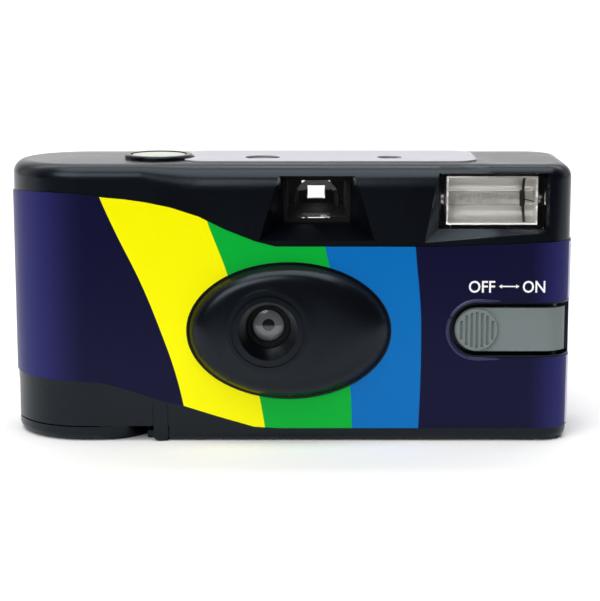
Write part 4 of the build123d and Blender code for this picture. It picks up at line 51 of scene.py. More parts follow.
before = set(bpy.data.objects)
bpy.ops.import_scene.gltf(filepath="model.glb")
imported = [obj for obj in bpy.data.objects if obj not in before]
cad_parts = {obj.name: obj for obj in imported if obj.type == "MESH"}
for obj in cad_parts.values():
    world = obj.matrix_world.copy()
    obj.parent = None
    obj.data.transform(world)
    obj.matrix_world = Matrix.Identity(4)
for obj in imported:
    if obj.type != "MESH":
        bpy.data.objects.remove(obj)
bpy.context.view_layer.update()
MM = 0.001
SAME_PLACE_M = 1e-6

# Places on the body, in millimetres, as the solids have them
FRONT_Y = -15.0
RIGHT_X = 60.4
CORNER_RADIUS = 6.0
END_X, END_Y, END_RADIUS = -44.4, 1.0, 16.0
FLASH_TUBE = (43.2, -8.18, 52.2)
BOARD_FACE_Y = -9.0
BOARD_TOP_Z = 43.2
WINDING_FOOT = (16.5, -4.4, 28.6)
ROLL_CENTRE = (37, 5.32)
ROLL_RADII = (4.45, 7.9)
ROLL_ENDS_Z = (42.5, 7.5)

# The counter dial: its middle, and how its numbers stand on it
DIAL = (-10.4, 3.4)
DIAL_TOP_Z = 57.0
DIAL_NUMBER_RADIUS = 6.5
DIAL_NUMBER_HEIGHT = 1.7
DIAL_READING_DEG = -45.0
DIAL_FIRST, DIAL_STEP = 27, 3

# The view: what the camera aims at, its sensor, and the picture's longer side
AIM_X, AIM_Z = 2.3, 31.0
SENSOR_MM = 36.0
PICTURE_PIXELS = 601

# Print stands this far off its ground, so that the two never share a face
PRINT_GAP = 0.005
PRINT_THICKNESS = 0.03
WORD_BASE_Z = 32.8
WORD_PLACES = (("OFF", 38.3, 5.6), ("ON", 49.8, 4.8))
ARROW_CENTRE_X = 46.9

# The wrapped label: how far its under side and its skin stand off the body, and where its
# bands end behind the front. The bands' places are shares of the print's span and height
LABEL_GAP = 0.02
LABEL_RISE = 0.27
LABEL_FRONT_END_Y = -9.0
PRINT_SPAN = 120.0
PRINT_HEIGHT = 60.0
# Each band's left edge is a row of points (x, z) from the top down
NAVY_YELLOW = (
    (-41.6, 57), (-40.1, 53.1), (-36.9, 45.8), (-31.6, 34.7), (-27.4, 23.9), (-24.5, 15.2), (-22.4, 6)
)
YELLOW_GREEN = ((-19.1, 54), (-17.5, 48.4), (-13.2, 36.7), (-10.0, 24), (-7.0, 12.6), (-5.1, 2))
GREEN_BLUE = ((6.9, 48), (7.7, 42.5), (8.7, 38), (11.4, 24), (13.1, 11.9), (13.5, 2))
BLUE_NAVY = ((26.6, 48), (26.9, 42.5), (28.0, 30.4), (28.2, 26.5), (27.8, 2))
# Painted light: the ground is painted paler towards each round end, standing in for the light that the
# ends catch and the white surroundings they reflect: from x, to x, and the share reached
PAINTED_LIGHT_ENDS = ((-43, -57, 0.95), (51, 60, 1.0))
# Painted highlight strips on the right corner, pale where the label glares at a grazing angle: name,
# from z, to z
PAINTED_GLARE_STRIPS = (("low", 3.4, 18.4), ("high", 30.9, 43.3))
PAINTED_GLARE_THICKNESS = 0.02
PAINTED_GLARE_DEG = (62, 84)
# The switch slot's closed end: x, z, radius and the length of its straight sides
SLOT_END = (40.2, 24.6, 6.35, 5.0)
BEAD_RADIUS = 0.42
BEAD_RISE = 0.26
# The label's own top edge, as x values and their heights, on the front and behind the end
LABEL_FRONT_EDGE = ((-62.8, -49.56, -42.96, -35.4), (50.4, 52.38, 53.1, 52.8))
LABEL_REAR_EDGE = ((-62.8, -54.28, -47.2), (50.4, 47.4, 44.1))
# The raised corner's upper edge, as degrees round the end and their heights. On the flat
# front before the bend, each millimetre counts as 3.5 degrees below nought
CORNER_START_X = -36.0
CORNER_DEG_PER_MM = 3.5
CORNER_HEIGHTS = ((-29.4, -17, -8, 0, 10, 25, 45, 65, 90, 103, 120, 135),
                  (52.82, 53.15, 53.55, 53.8, 54.0, 54.1, 53.95, 53.65, 53.1, 52.3, 49.9, 47.9))


def linear(code):
    """A colour written as sRGB hex, turned to the linear values that shaders take."""
    values = [int(code[i : i + 2], 16) / 255 for i in (1, 3, 5)]
    return [v / 12.92 if v <= 0.04045 else ((v + 0.055) / 1.055) ** 2.4 for v in values] + [1.0]


def colour_property(name, description, code):
    """A colour swatch of the panel, from an sRGB hex value."""
    return FloatVectorProperty(
        name=name, description=description, subtype="COLOR", size=4, min=0, max=1, default=linear(code)
    )


class PlasticLooks(PropertyGroup):
    """Colours, grain and numbers of the moulded pieces."""

    case: colour_property("Case", "Black ABS of the covers", "#07090F")
    inner: colour_property("Inner frame", "Matt black styrene of the chassis", "#08090C")
    switch: colour_property("Switch", "Grey of the flash switch", "#788180")
    button: colour_property("Button", "Cream white of the shutter button", "#C3C6B8")
    grain_mm: FloatProperty(
        name="Grain", description="Width of the mould grain, mm", default=0.35, min=0.05, max=2
    )
    dial_numbers: IntProperty(
        name="Dial numbers", description="How many numbers stand on the counter dial",
        default=10, min=1, max=40,
    )


class LabelLooks(PropertyGroup):
    """Colours of the printed paper label."""

    navy: colour_property("Navy", "Ground colour of the label", "#101031")
    # Painted light: the paler navy that the ground reaches towards the round ends stands in for the
    # light they catch
    navy_painted_light: colour_property("Pale navy", "Ground colour towards the ends", "#292967")
    yellow: colour_property("Yellow", "First band", "#FBF600")
    green: colour_property("Green", "Second band", "#06AD37")
    blue: colour_property("Blue", "Third band", "#076BB6")
    strip: colour_property("Top strip", "Pale grey strip on the top", "#ACAAB2")
    words: colour_property("Words", "White of the switch words", "#FFFFFF")
    word_height_mm: FloatProperty(
        name="Word height", description="Height of the capitals, mm", default=2.6, min=0.5, max=10
    )


class StageLooks(PropertyGroup):
    """Camera and light."""

    distance_mm: FloatProperty(
        name="Distance", description="Camera to the front of the body, mm",
        default=395, min=100, max=2000,
    )
    elevation_deg: FloatProperty(
        name="Elevation", description="Camera above the horizon, degrees", default=10.4, min=-90, max=90
    )
    pixels_per_mm: FloatProperty(
        name="Pixels per mm", description="Size of the front in the picture",
        default=4.68, min=0.1, max=50,
    )
    key_power: FloatProperty(
        name="Key light", description="Power of the soft light in front, W", default=8.3, min=0, max=200
    )
    top_power: FloatProperty(
        name="Top light", description="Power of the soft light above, W", default=9, min=0, max=200
    )
    backdrop_power: FloatProperty(
        name="Backdrop light", description="Power of the light on the wall, W",
        default=30, min=0, max=500,
    )
    room_light: FloatProperty(
        name="Room light", description="Strength of the even light all round", default=0.04, min=0, max=5
    )


def looks():
    """The scene's settings of this add-on."""
    return bpy.context.scene.camera_looks


# Node trees


def node(tree, kind, links=None, **settings):
    """Adds one node. Settings are its own values or, where they start with in_, socket values
    by number; links map a socket number or name to the output that feeds it."""
    made = tree.nodes.new(kind)
    for name, value in settings.items():
        if name.startswith("in_"):
            made.inputs[int(name[3:])].default_value = value
        else:
            setattr(made, name, value)
    for socket, source in (links or {}).items():
        tree.links.new(source, made.inputs[socket])
    return made


def new_material(name, **principled):
    """A material with a Principled shader whose sockets are set by name."""
    material = bpy.data.materials.new(name)
    material.use_nodes = True
    shader = material.node_tree.nodes["Principled BSDF"]
    for key, value in principled.items():
        shader.inputs[key.replace("_", " ")].default_value = value
    return material, material.node_tree, shader


def place(tree):
    """Object coordinates in metres: the place on the part itself."""
    return node(tree, "ShaderNodeTexCoord").outputs["Object"]


def grain_bump(tree, shader, size_mm, height_mm, strength=1.0, detail=3.0):
    """Bump from a noise whose grains are size_mm wide and height_mm deep."""
    noise = node(
        tree, "ShaderNodeTexNoise", {"Vector": place(tree)}, in_2=1 / (size_mm * MM), in_3=detail
    )
    bump = node(
        tree, "ShaderNodeBump", {"Height": noise.outputs[0]}, in_0=strength, in_1=height_mm * MM
    )
    tree.links.new(bump.outputs[0], shader.inputs["Normal"])


def roughness_from(tree, shader, size_mm, low, high):
    """Roughness that drifts between low and high over patches size_mm wide. Most of the
    noise lies between 0.35 and 0.65, which the drift takes as its ends."""
    noise = node(tree, "ShaderNodeTexNoise", {"Vector": place(tree)}, in_2=1 / (size_mm * MM), in_3=2.0)
    spread = node(
        tree, "ShaderNodeMapRange", {0: noise.outputs[0]}, in_1=0.35, in_2=0.65, in_3=low, in_4=high
    )
    tree.links.new(spread.outputs[0], shader.inputs["Roughness"])


def tinted(tree, shader, colour, size_mm, darker):
    """A base colour that varies slightly, down to darker times itself, over size_mm patches."""
    noise = node(tree, "ShaderNodeTexNoise", {"Vector": place(tree)}, in_2=1 / (size_mm * MM), in_3=4.0)
    low = [c * darker for c in colour[:3]] + [1.0]
    mix = node(
        tree, "ShaderNodeMix", {0: noise.outputs[0]}, data_type="RGBA", in_6=low, in_7=list(colour)
    )
    tree.links.new(mix.outputs[2], shader.inputs["Base Color"])


def dress(name, material):
    """Gives a CAD node its finish."""
    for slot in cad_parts[name].material_slots:
        slot.material = material


# Materials


def moulded_abs(name, colour, grain_mm, low=0.24, high=0.3):
    """Injection-moulded ABS from a lightly spark-eroded tool: a fine even grain that
    softens reflections, with faint drift in gloss where the resin flowed."""
    material, tree, shader = new_material(
        name, Roughness=0.27, IOR=1.53, Specular_IOR_Level=0.29, Specular_Tint=linear("#D8EAF8")
    )
    tinted(tree, shader, colour, 14, 0.85)
    roughness_from(tree, shader, 22, low, high)
    grain_bump(tree, shader, grain_mm, 0.012, 0.5)
    return material


def matt_styrene(name, colour):
    """Styrene with a matting agent, as inner frames have so that they reflect little."""
    material, tree, shader = new_material(name, Roughness=0.7, IOR=1.55, Specular_IOR_Level=0.25)
    tinted(tree, shader, colour, 9, 0.8)
    roughness_from(tree, shader, 12, 0.6, 0.8)
    grain_bump(tree, shader, 0.4, 0.03, 0.6)
    return material


def clear_acrylic(name, tint, rough=0.015):
    """Moulded clear PMMA: index 1.49, polished faces with a slight haze. Shadow rays pass
    it with its tint, so what lies behind is lit as behind a thin pane."""
    material, tree, shader = new_material(name, Roughness=rough, IOR=1.49, Transmission_Weight=1.0)
    shader.inputs["Base Color"].default_value = tint
    grain_bump(tree, shader, 3.0, 0.004, 0.3, 1.0)
    ray = node(tree, "ShaderNodeLightPath")
    passing = node(tree, "ShaderNodeBsdfTransparent", in_0=tint)
    mix = node(
        tree, "ShaderNodeMixShader",
        {0: ray.outputs["Is Shadow Ray"], 1: shader.outputs[0], 2: passing.outputs[0]},
    )
    tree.links.new(mix.outputs[0], tree.nodes["Material Output"].inputs["Surface"])
    return material


def drawn_metal(name, colour, rough, grain_mm=0.5):
    """Bright drawn or rolled sheet: fine lines along the way that it was rolled."""
    material, tree, shader = new_material(name, Metallic=1.0, Roughness=rough)
    tinted(tree, shader, colour, 6, 0.86)
    stretched = node(tree, "ShaderNodeMapping", {"Vector": place(tree)}, in_3=(0.08, 1.0, 1.0))
    lines = node(
        tree, "ShaderNodeTexNoise", {"Vector": stretched.outputs[0]}, in_2=1 / (grain_mm * MM), in_3=2.0
    )
    bump = node(tree, "ShaderNodeBump", {"Height": lines.outputs[0]}, in_0=0.35, in_1=0.01 * MM)
    tree.links.new(bump.outputs[0], shader.inputs["Normal"])
    return material


def ridged_reflector(name, colour):
    """Vacuum-metallised polystyrene: satin, with shallow ridges along the trough, 3.2 mm apart,
    that spread the flash upwards and downwards and draw bright lines across it. A wave
    texture's scale is pi / 10 over its period."""
    material, tree, shader = new_material(name, Metallic=1.0, Roughness=0.36)
    tinted(tree, shader, colour, 5, 0.9)
    ridges = node(
        tree, "ShaderNodeTexWave", {0: place(tree)}, bands_direction="Z", in_1=0.314 / (3.2 * MM),
        in_2=0.6, in_3=1.0, in_4=60.0,
    )
    bump = node(tree, "ShaderNodeBump", {"Height": ridges.outputs["Fac"]}, in_0=1.0, in_1=0.3 * MM)
    tree.links.new(bump.outputs[0], shader.inputs["Normal"])
    return material


def band_edge(tree, height_share, points):
    """The place across the print, as a share of its span, of a band's edge at each share of
    its height: a smooth curve through the printed edge's points, given as (x mm, z mm)."""
    curve = node(tree, "ShaderNodeFloatCurve", {1: height_share})
    shape = curve.mapping.curves[0]
    marks = sorted((z / PRINT_HEIGHT, (x + PRINT_SPAN / 2) / PRINT_SPAN) for x, z in points)
    first, last = shape.points[0], shape.points[1]
    first.location = marks[0]
    last.location = marks[-1]
    for mark in marks[1:-1]:
        shape.points.new(*mark)
    curve.mapping.extend = "EXTRAPOLATED"
    curve.mapping.update()
    return curve.outputs[0]


def laminated_print(name, ground, painted_light_ground, bands):
    """Offset print under a thin film on paper: even, with a very shallow wave where the glue
    below it is thicker. The ground is painted paler towards both ends: painted light for the
    light that the round ends catch. Each band is a pair of its edge's points and the colour that
    starts right of it, or None for the ground again; the bands are on the front only, and their edges
    are 0.12 mm soft."""
    material, tree, shader = new_material(name, Roughness=0.36, IOR=1.5, Specular_IOR_Level=0.1)
    spot = node(tree, "ShaderNodeSeparateXYZ", {0: place(tree)})
    across = node(
        tree, "ShaderNodeMapRange", {0: spot.outputs[0]}, clamp=False,
        in_1=-PRINT_SPAN / 2 * MM, in_2=PRINT_SPAN / 2 * MM,
    )
    height = node(
        tree, "ShaderNodeMapRange", {0: spot.outputs[2]}, clamp=False, in_1=0.0, in_2=PRINT_HEIGHT * MM
    )
    # Painted light: how far the ground turns to the paler navy towards each round end
    ends = [
        node(
            tree, "ShaderNodeMapRange", {0: spot.outputs[0]}, interpolation_type="SMOOTHSTEP",
            in_1=start * MM, in_2=stop * MM, in_3=0.0, in_4=most,
        )
        for start, stop, most in PAINTED_LIGHT_ENDS
    ]
    painted_light_share = node(
        tree, "ShaderNodeMath", {0: ends[0].outputs[0], 1: ends[1].outputs[0]}, operation="ADD"
    )
    shades = node(
        tree, "ShaderNodeMix", {0: painted_light_share.outputs[0]}, data_type="RGBA", in_6=ground, in_7=painted_light_ground
    )
    result = shades.outputs[2]
    in_front = node(
        tree, "ShaderNodeMapRange", {0: spot.outputs[1]}, in_1=LABEL_FRONT_END_Y * MM,
        in_2=(LABEL_FRONT_END_Y + 0.1) * MM, in_3=1.0, in_4=0.0,
    )
    for points, band in bands:
        edge = band_edge(tree, height.outputs[0], points)
        past = node(tree, "ShaderNodeMath", {0: across.outputs[0], 1: edge}, operation="SUBTRACT")
        inside = node(
            tree, "ShaderNodeMapRange", {0: past.outputs[0], 4: in_front.outputs[0]},
            in_1=-0.0005, in_2=0.0005, in_3=0.0,
        )
        mix = node(tree, "ShaderNodeMix", {0: inside.outputs[0], 6: result}, data_type="RGBA")
        if band is None:
            tree.links.new(shades.outputs[2], mix.inputs[7])
        else:
            mix.inputs[7].default_value = band
        result = mix.outputs[2]
    tree.links.new(result, shader.inputs["Base Color"])
    roughness_from(tree, shader, 30, 0.32, 0.36)
    grain_bump(tree, shader, 9.0, 0.008, 0.3, 1.0)
    return material


def coated_paper(name, colour):
    """Coated label paper: satin, with the faint cloudiness of its fibres."""
    material, tree, shader = new_material(name, Roughness=0.45, IOR=1.5, Specular_IOR_Level=0.4)
    tinted(tree, shader, colour, 12, 0.97)
    grain_bump(tree, shader, 2.0, 0.006, 0.3, 2.0)
    return material


def copper_board(name):
    """Paper-phenolic board: a green solder mask in two close shades, and paler lines where
    copper tracks run below it, 2.5 mm apart and 5 mm long."""
    material, tree, shader = new_material(name, Roughness=0.35, IOR=1.55)
    tracks = node(
        tree, "ShaderNodeTexBrick", {"Vector": place(tree)}, in_1=linear("#2E6B3A"),
        in_2=linear("#2A5F36"), in_3=linear("#6B9A58"), in_4=1 / (10 * MM), in_5=0.06, in_8=0.5,
        in_9=0.25,
    )
    tree.links.new(tracks.outputs[0], shader.inputs["Base Color"])
    grain_bump(tree, shader, 0.8, 0.02, 0.5)
    return material


def printed_sleeve(name, ground, ring, low_x, high_x):
    """Shrink sleeve on a cell: glossy film in two plain colours that meet between low_x and
    high_x."""
    material, tree, shader = new_material(name, Roughness=0.22, IOR=1.5)
    spot = node(tree, "ShaderNodeSeparateXYZ", {0: place(tree)})
    past = node(
        tree, "ShaderNodeMapRange", {0: spot.outputs[0]}, in_1=low_x * MM, in_2=high_x * MM,
        in_3=0.0, in_4=1.0,
    )
    mix = node(tree, "ShaderNodeMix", {0: past.outputs[0]}, data_type="RGBA", in_6=ground, in_7=ring)
    tree.links.new(mix.outputs[2], shader.inputs["Base Color"])
    grain_bump(tree, shader, 1.5, 0.01, 0.3)
    return material


def lacquered_tinplate(name, colour, stripe):
    """Cartridge shell: printed lacquer on thin steel, a plain ground and a stripe above 33 mm."""
    material, tree, shader = new_material(name, Roughness=0.28, Metallic=0.3)
    spot = node(tree, "ShaderNodeSeparateXYZ", {0: place(tree)})
    past = node(
        tree, "ShaderNodeMapRange", {0: spot.outputs[2]}, in_1=33 * MM, in_2=33.1 * MM,
        in_3=0.0, in_4=1.0,
    )
    mix = node(tree, "ShaderNodeMix", {0: past.outputs[0]}, data_type="RGBA", in_6=colour, in_7=stripe)
    tree.links.new(mix.outputs[2], shader.inputs["Base Color"])
    grain_bump(tree, shader, 2.0, 0.01, 0.3)
    return material


def film_emulsion(name):
    """Colour film: brown polyester base, satin on the emulsion side."""
    material, tree, shader = new_material(name, Roughness=0.25, IOR=1.58)
    tinted(tree, shader, linear("#4A2A1C"), 20, 0.9)
    roughness_from(tree, shader, 10, 0.2, 0.32)
    grain_bump(tree, shader, 6.0, 0.01, 0.3)
    return material


# Meshes


def mesh_piece(name, points, faces, material, body, slot, smooth=True):
    """Makes an object from point rows in millimetres and face index rows, riding on a body."""
    mesh = bpy.data.meshes.new(name)
    mesh.from_pydata((np.asarray(points, dtype=float) * MM).tolist(), [], [tuple(f) for f in faces])
    mesh.update()
    mesh.shade_smooth() if smooth else mesh.shade_flat()
    piece = bpy.data.objects.new(name, mesh)
    bpy.context.scene.collection.objects.link(piece)
    mesh.materials.append(material)
    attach(piece, body)
    return piece


def bending_spring(material):
    """A merged copy of the button's coil spring, with the given finish, in place of the spring
    itself, which is hidden."""
    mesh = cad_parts["button_spring"].data.copy()
    merged = bmesh.new()
    merged.from_mesh(mesh)
    bmesh.ops.remove_doubles(merged, verts=merged.verts, dist=SAME_PLACE_M)
    merged.to_mesh(mesh)
    merged.free()
    spots = np.empty(len(mesh.vertices) * 3)
    mesh.vertices.foreach_get("co", spots)
    piece = bpy.data.objects.new("button_spring_bending", mesh)
    bpy.context.scene.collection.objects.link(piece)
    mesh.materials.clear()
    mesh.materials.append(material)
    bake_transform(piece)
    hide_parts("button_spring")


def grid_faces(rows, columns, closed=True):
    """Quads of a grid of rows by columns points; where closed, the last column meets the first."""
    r = np.arange(rows - 1)
    c = np.arange(columns if closed else columns - 1)
    r, c = (a.ravel() for a in np.meshgrid(r, c, indexing="ij"))
    c1 = (c + 1) % columns
    low, high = r * columns, (r + 1) * columns
    return np.stack([low + c, low + c1, high + c1, high + c], axis=1)


def tube_along(path, radius, sides=12):
    """A round tube: at each path point a circle of the radius lies across the path's
    direction, its two axes made by crossing that direction with a fixed sideways one."""
    path = np.asarray(path, dtype=float)
    along = np.gradient(path, axis=0)
    along /= np.linalg.norm(along, axis=1, keepdims=True)
    side = np.where(np.abs(along[:, 2:3]) < 0.9, [[0.0, 0.0, 1.0]], [[1.0, 0.0, 0.0]])
    first = np.cross(side, along)
    first /= np.linalg.norm(first, axis=1, keepdims=True)
    second = np.cross(along, first)
    turn = np.linspace(0, 2 * np.pi, sides, endpoint=False)
    ring = (
        path[:, None]
        + radius * np.cos(turn)[None, :, None] * first[:, None]
        + radius * np.sin(turn)[None, :, None] * second[:, None]
    )
    rows = len(path)
    points = np.concatenate([ring.reshape(-1, 3), path[:1], path[-1:]])
    faces = grid_faces(rows, sides).tolist()
    for n in range(sides):
        faces.append((rows * sides, (n + 1) % sides, n))
        faces.append((rows * sides + 1, (rows - 1) * sides + n, (rows - 1) * sides + (n + 1) % sides))
    return points, faces


def lathe(profile, centre, sides=48):
    """A turned piece that lies along x: each profile point (radius r, place w) goes round as
    centre + (w, r cos a, r sin a); profile points with no radius close it."""
    profile = np.asarray(profile, dtype=float)
    turn = np.linspace(0, 2 * np.pi, sides, endpoint=False)
    radius, along = profile[:, :1], profile[:, 1:]
    u, v = radius * np.cos(turn), radius * np.sin(turn)
    w = np.broadcast_to(along, u.shape)
    points = np.stack((w, u, v), axis=-1).reshape(-1, 3) + np.asarray(centre, dtype=float)
    return points, grid_faces(len(profile), sides)


def bezier(start, bend, end, count):
    """Points on the curve (1-t)^2 start + 2t(1-t) bend + t^2 end, t from 0 to 1."""
    t = np.linspace(0, 1, count)[:, None]
    start, bend, end = (np.array(p, dtype=float) for p in (start, bend, end))
    return (1 - t) ** 2 * start + 2 * t * (1 - t) * bend + t**2 * end


def helix(foot, radius, pitch, turns, per_turn=24):
    """Points of an upright coil: foot + (radius cos a, radius sin a, pitch a / 2 pi)."""
    angle = np.linspace(0, 2 * np.pi * turns, int(turns * per_turn) + 1)
    u, v, w = radius * np.cos(angle), radius * np.sin(angle), angle / (2 * np.pi) * pitch
    return np.stack((u, v, w), axis=1) + np.asarray(foot, dtype=float)


def text_points(words, height):
    """A word as a mesh from Blender's own font, its strokes slightly widened: capitals scaled
    to the height in mm, left end at nought. Returns points (across, up, out) and faces."""
    curve = bpy.data.curves.new("word", "FONT")
    curve.body = words
    curve.size = 1.0
    curve.offset = 0.012
    curve.extrude = 0.01
    curve.resolution_u = 3
    holder = bpy.data.objects.new("word", curve)
    bpy.context.scene.collection.objects.link(holder)
    bpy.context.view_layer.update()
    finished = holder.evaluated_get(bpy.context.evaluated_depsgraph_get())
    mesh = bpy.data.meshes.new_from_object(finished)
    points = np.empty(len(mesh.vertices) * 3)
    mesh.vertices.foreach_get("co", points)
    points = points.reshape(-1, 3)
    faces = [tuple(p.vertices) for p in mesh.polygons]
    bpy.data.objects.remove(holder)
    bpy.data.curves.remove(curve)
    bpy.data.meshes.remove(mesh)
    points[:, 0] -= points[:, 0].min()
    points[:, :2] *= height / np.ptp(points[:, 1])
    points[:, 2] = np.where(points[:, 2] > 0, PRINT_THICKNESS, 0.0)
    return points, faces


def front_skin_y(x, rise):
    """Y of the body's front at x, rise mm outside it: flat, then a quarter circle at the
    right corner."""
    past = np.clip(x - (RIGHT_X - CORNER_RADIUS), 0, None)
    radius = CORNER_RADIUS + rise
    return FRONT_Y + CORNER_RADIUS - np.sqrt(radius**2 - np.clip(past, 0, radius) ** 2)


def label_corner():
    """The label's raised corner at the round end, as points and faces. The path runs along
    the flat front and then round the end, (x, y) = centre - r (sin a, cos a), to 90 degrees
    at the far left and on behind it. The lower edge is the label's own top edge, the upper
    edge goes through the printed corner's heights, and each section is a thin rectangle on
    the body's skin."""
    flat, side, rear = 13, 61, 31
    turn = np.radians(
        np.concatenate([np.zeros(flat), np.linspace(0, 90, side), np.linspace(90, 135, rear)])
    )
    along = np.concatenate([np.linspace(CORNER_START_X, END_X, flat), np.full(side + rear, END_X)])
    edges = []
    for radius in (END_RADIUS + LABEL_GAP, END_RADIUS + LABEL_RISE):
        edges.append((along - radius * np.sin(turn), END_Y - radius * np.cos(turn)))
    (x_in, y_in), (x_out, y_out) = edges
    behind = np.arange(len(turn)) >= flat + side
    low = np.where(behind, np.interp(x_out, *LABEL_REAR_EDGE), np.interp(x_out, *LABEL_FRONT_EDGE))
    degrees = np.where(turn > 0, np.degrees(turn), (END_X - along) * CORNER_DEG_PER_MM)
    high = np.maximum(low, np.interp(degrees, *CORNER_HEIGHTS))
    high[0], high[-1] = low[0], low[-1]
    rows = np.stack(
        [
            np.column_stack([x_in, y_in, low]), np.column_stack([x_out, y_out, low]),
            np.column_stack([x_out, y_out, high]), np.column_stack([x_in, y_in, high]),
        ],
        axis=1,
    )
    return rows.reshape(-1, 3), grid_faces(len(turn), 4)


def slot_bead():
    """The label's pressed rim round the closed end of the switch slot: a path straight, then
    half a circle, then straight again. Its bead comes out of the label and goes back as
    sin(t)^0.7, t from 0 to pi along the way."""
    x, z, radius, run = SLOT_END
    turn = np.radians(np.linspace(90, 270, 61))
    straight = np.linspace(run, 0, 12)[:-1]
    level = np.full(len(straight), z)
    across = np.concatenate([x + straight, x + radius * np.cos(turn), x + straight[::-1]])
    up = np.concatenate([level + radius, z + radius * np.sin(turn), level - radius])
    rise = BEAD_RISE * np.sin(np.linspace(0, np.pi, len(across))) ** 0.7
    path = np.column_stack([across, FRONT_Y - LABEL_RISE + BEAD_RADIUS - rise, up])
    return tube_along(path, BEAD_RADIUS, 16)


def label_margin(low, high):
    """A painted highlight on the label's right corner between two heights, pale where the label
    glares at a grazing angle: a thin sheet on the corner's quarter circle, between two angles off the
    front."""
    turn = np.radians(np.linspace(*PAINTED_GLARE_DEG, 12))
    thick = PAINTED_GLARE_THICKNESS
    rows = []
    for rise, z in ((0.0, low), (thick, low), (thick, high), (0.0, high)):
        radius = CORNER_RADIUS + LABEL_RISE + rise
        x = RIGHT_X - CORNER_RADIUS + radius * np.sin(turn)
        y = FRONT_Y + CORNER_RADIUS - radius * np.cos(turn)
        rows.append(np.column_stack([x, y, np.full_like(turn, z)]))
    points = np.stack(rows, axis=1).reshape(-1, 3)
    faces = grid_faces(len(turn), 4)[:, ::-1].tolist()
    end = len(points) - 1
    return points, faces + [[0, 1, 2, 3], [end, end - 1, end - 2, end - 3]]


def on_label(points, left, base):
    """Lays flat letters on the label: across becomes x, up becomes z, and out becomes the
    distance from the label's skin."""
    x = points[:, 0] + left
    y = front_skin_y(x, LABEL_RISE) - PRINT_GAP - points[:, 2]
    return np.column_stack([x, y, points[:, 1] + base])


def switch_arrow():
    """A flat arrow with a head at each end, about its own middle, as points (across, up, out)
    and faces. Its outline goes round from the left tip."""
    half, head, line = 2.2, 0.7, 0.13
    neck, wing = half - head, head * 0.6
    outline = np.array(
        [(-half, 0), (-neck, wing), (-neck, line), (neck, line), (neck, wing),
         (half, 0), (neck, -wing), (neck, -line), (-neck, -line), (-neck, -wing)]
    )
    count = len(outline)
    flat = np.column_stack([outline, np.zeros(count)])
    points = np.concatenate([flat, flat + [0, 0, PRINT_THICKNESS]])
    faces = [tuple(range(count, 2 * count)), tuple(range(count - 1, -1, -1))]
    faces += [(n, (n + 1) % count, count + (n + 1) % count, count + n) for n in range(count)]
    return points, faces


# Operators


class CAMERA_LOOKS_OT_case(Operator):
    """Finish the covers, the film door and the inner frame"""

    bl_idname = "camera_looks.case"
    bl_label = "Case and frame"

    def execute(self, context):
        plastic = looks().plastic
        case = moulded_abs("moulded ABS, black", plastic.case, plastic.grain_mm)
        for name in ("front_cover", "rear_cover", "cartridge_door"):
            dress(name, case)
        frame_finish = matt_styrene("moulded styrene, matt black", plastic.inner)
        matt_pieces = (
            "chassis", "light_tunnel", "finder_tube", "lens_holder", "supply_spool", "film_spool"
        )
        for name in matt_pieces:
            dress(name, frame_finish)
        return {"FINISHED"}


class CAMERA_LOOKS_OT_labels(Operator):
    """Print the wrapped label's bands and the pale strip on the top"""

    bl_idname = "camera_looks.labels"
    bl_label = "Labels"

    def execute(self, context):
        label = looks().label
        bands = (
            (NAVY_YELLOW, label.yellow),
            (YELLOW_GREEN, label.green),
            (GREEN_BLUE, label.blue),
            (BLUE_NAVY, None),
        )
        print_finish = laminated_print("laminated print, banded, painted light at the ends", label.navy, label.navy_painted_light, bands)
        dress("wrap_label", print_finish)
        dress("top_label", coated_paper("coated paper, pale grey", label.strip))
        mesh_piece("label_corner", *label_corner(), print_finish, "camera", "printed_label", False)
        # The pressed rim's navy is paler than the label's ground: a painted highlight for the light that
        # its edge catches
        pressed, tree, shader = new_material("laminated print, pressed rim, painted highlight", Roughness=0.3, IOR=1.5)
        tinted(tree, shader, linear("#24244E"), 6, 0.9)
        mesh_piece("slot_bead", *slot_bead(), pressed, "camera", "printed_label")
        # Painted highlight: pale sheets on the right corner stand in for the label's glare at a grazing
        # angle
        margin = coated_paper("laminated paper, painted margin", linear("#C9C5E6"))
        for name, low, high in PAINTED_GLARE_STRIPS:
            sheet = label_margin(low, high)
            mesh_piece("label_margin_" + name, *sheet, margin, "camera", "pale_label", False)
        return {"FINISHED"}


class CAMERA_LOOKS_OT_switch_words(Operator):
    """Print OFF, a two-headed arrow and ON above the flash switch"""

    bl_idname = "camera_looks.switch_words"
    bl_label = "Switch words"

    def execute(self, context):
        label = looks().label
        height = label.word_height_mm
        ink, tree, shader = new_material("screen ink, white", Roughness=0.35)
        tinted(tree, shader, label.words, 3, 0.96)
        for words, left, width in WORD_PLACES:
            points, faces = text_points(words, height)
            points[:, 0] *= width / np.ptp(points[:, 0])
            placed = on_label(points, left, WORD_BASE_Z)
            mesh_piece("print_" + words.lower(), placed, faces, ink, "camera", "pale_label", False)
        points, faces = switch_arrow()
        placed = on_label(points, ARROW_CENTRE_X, WORD_BASE_Z + height / 2)
        mesh_piece("print_arrow", placed, faces, ink, "camera", "pale_label", False)
        return {"FINISHED"}


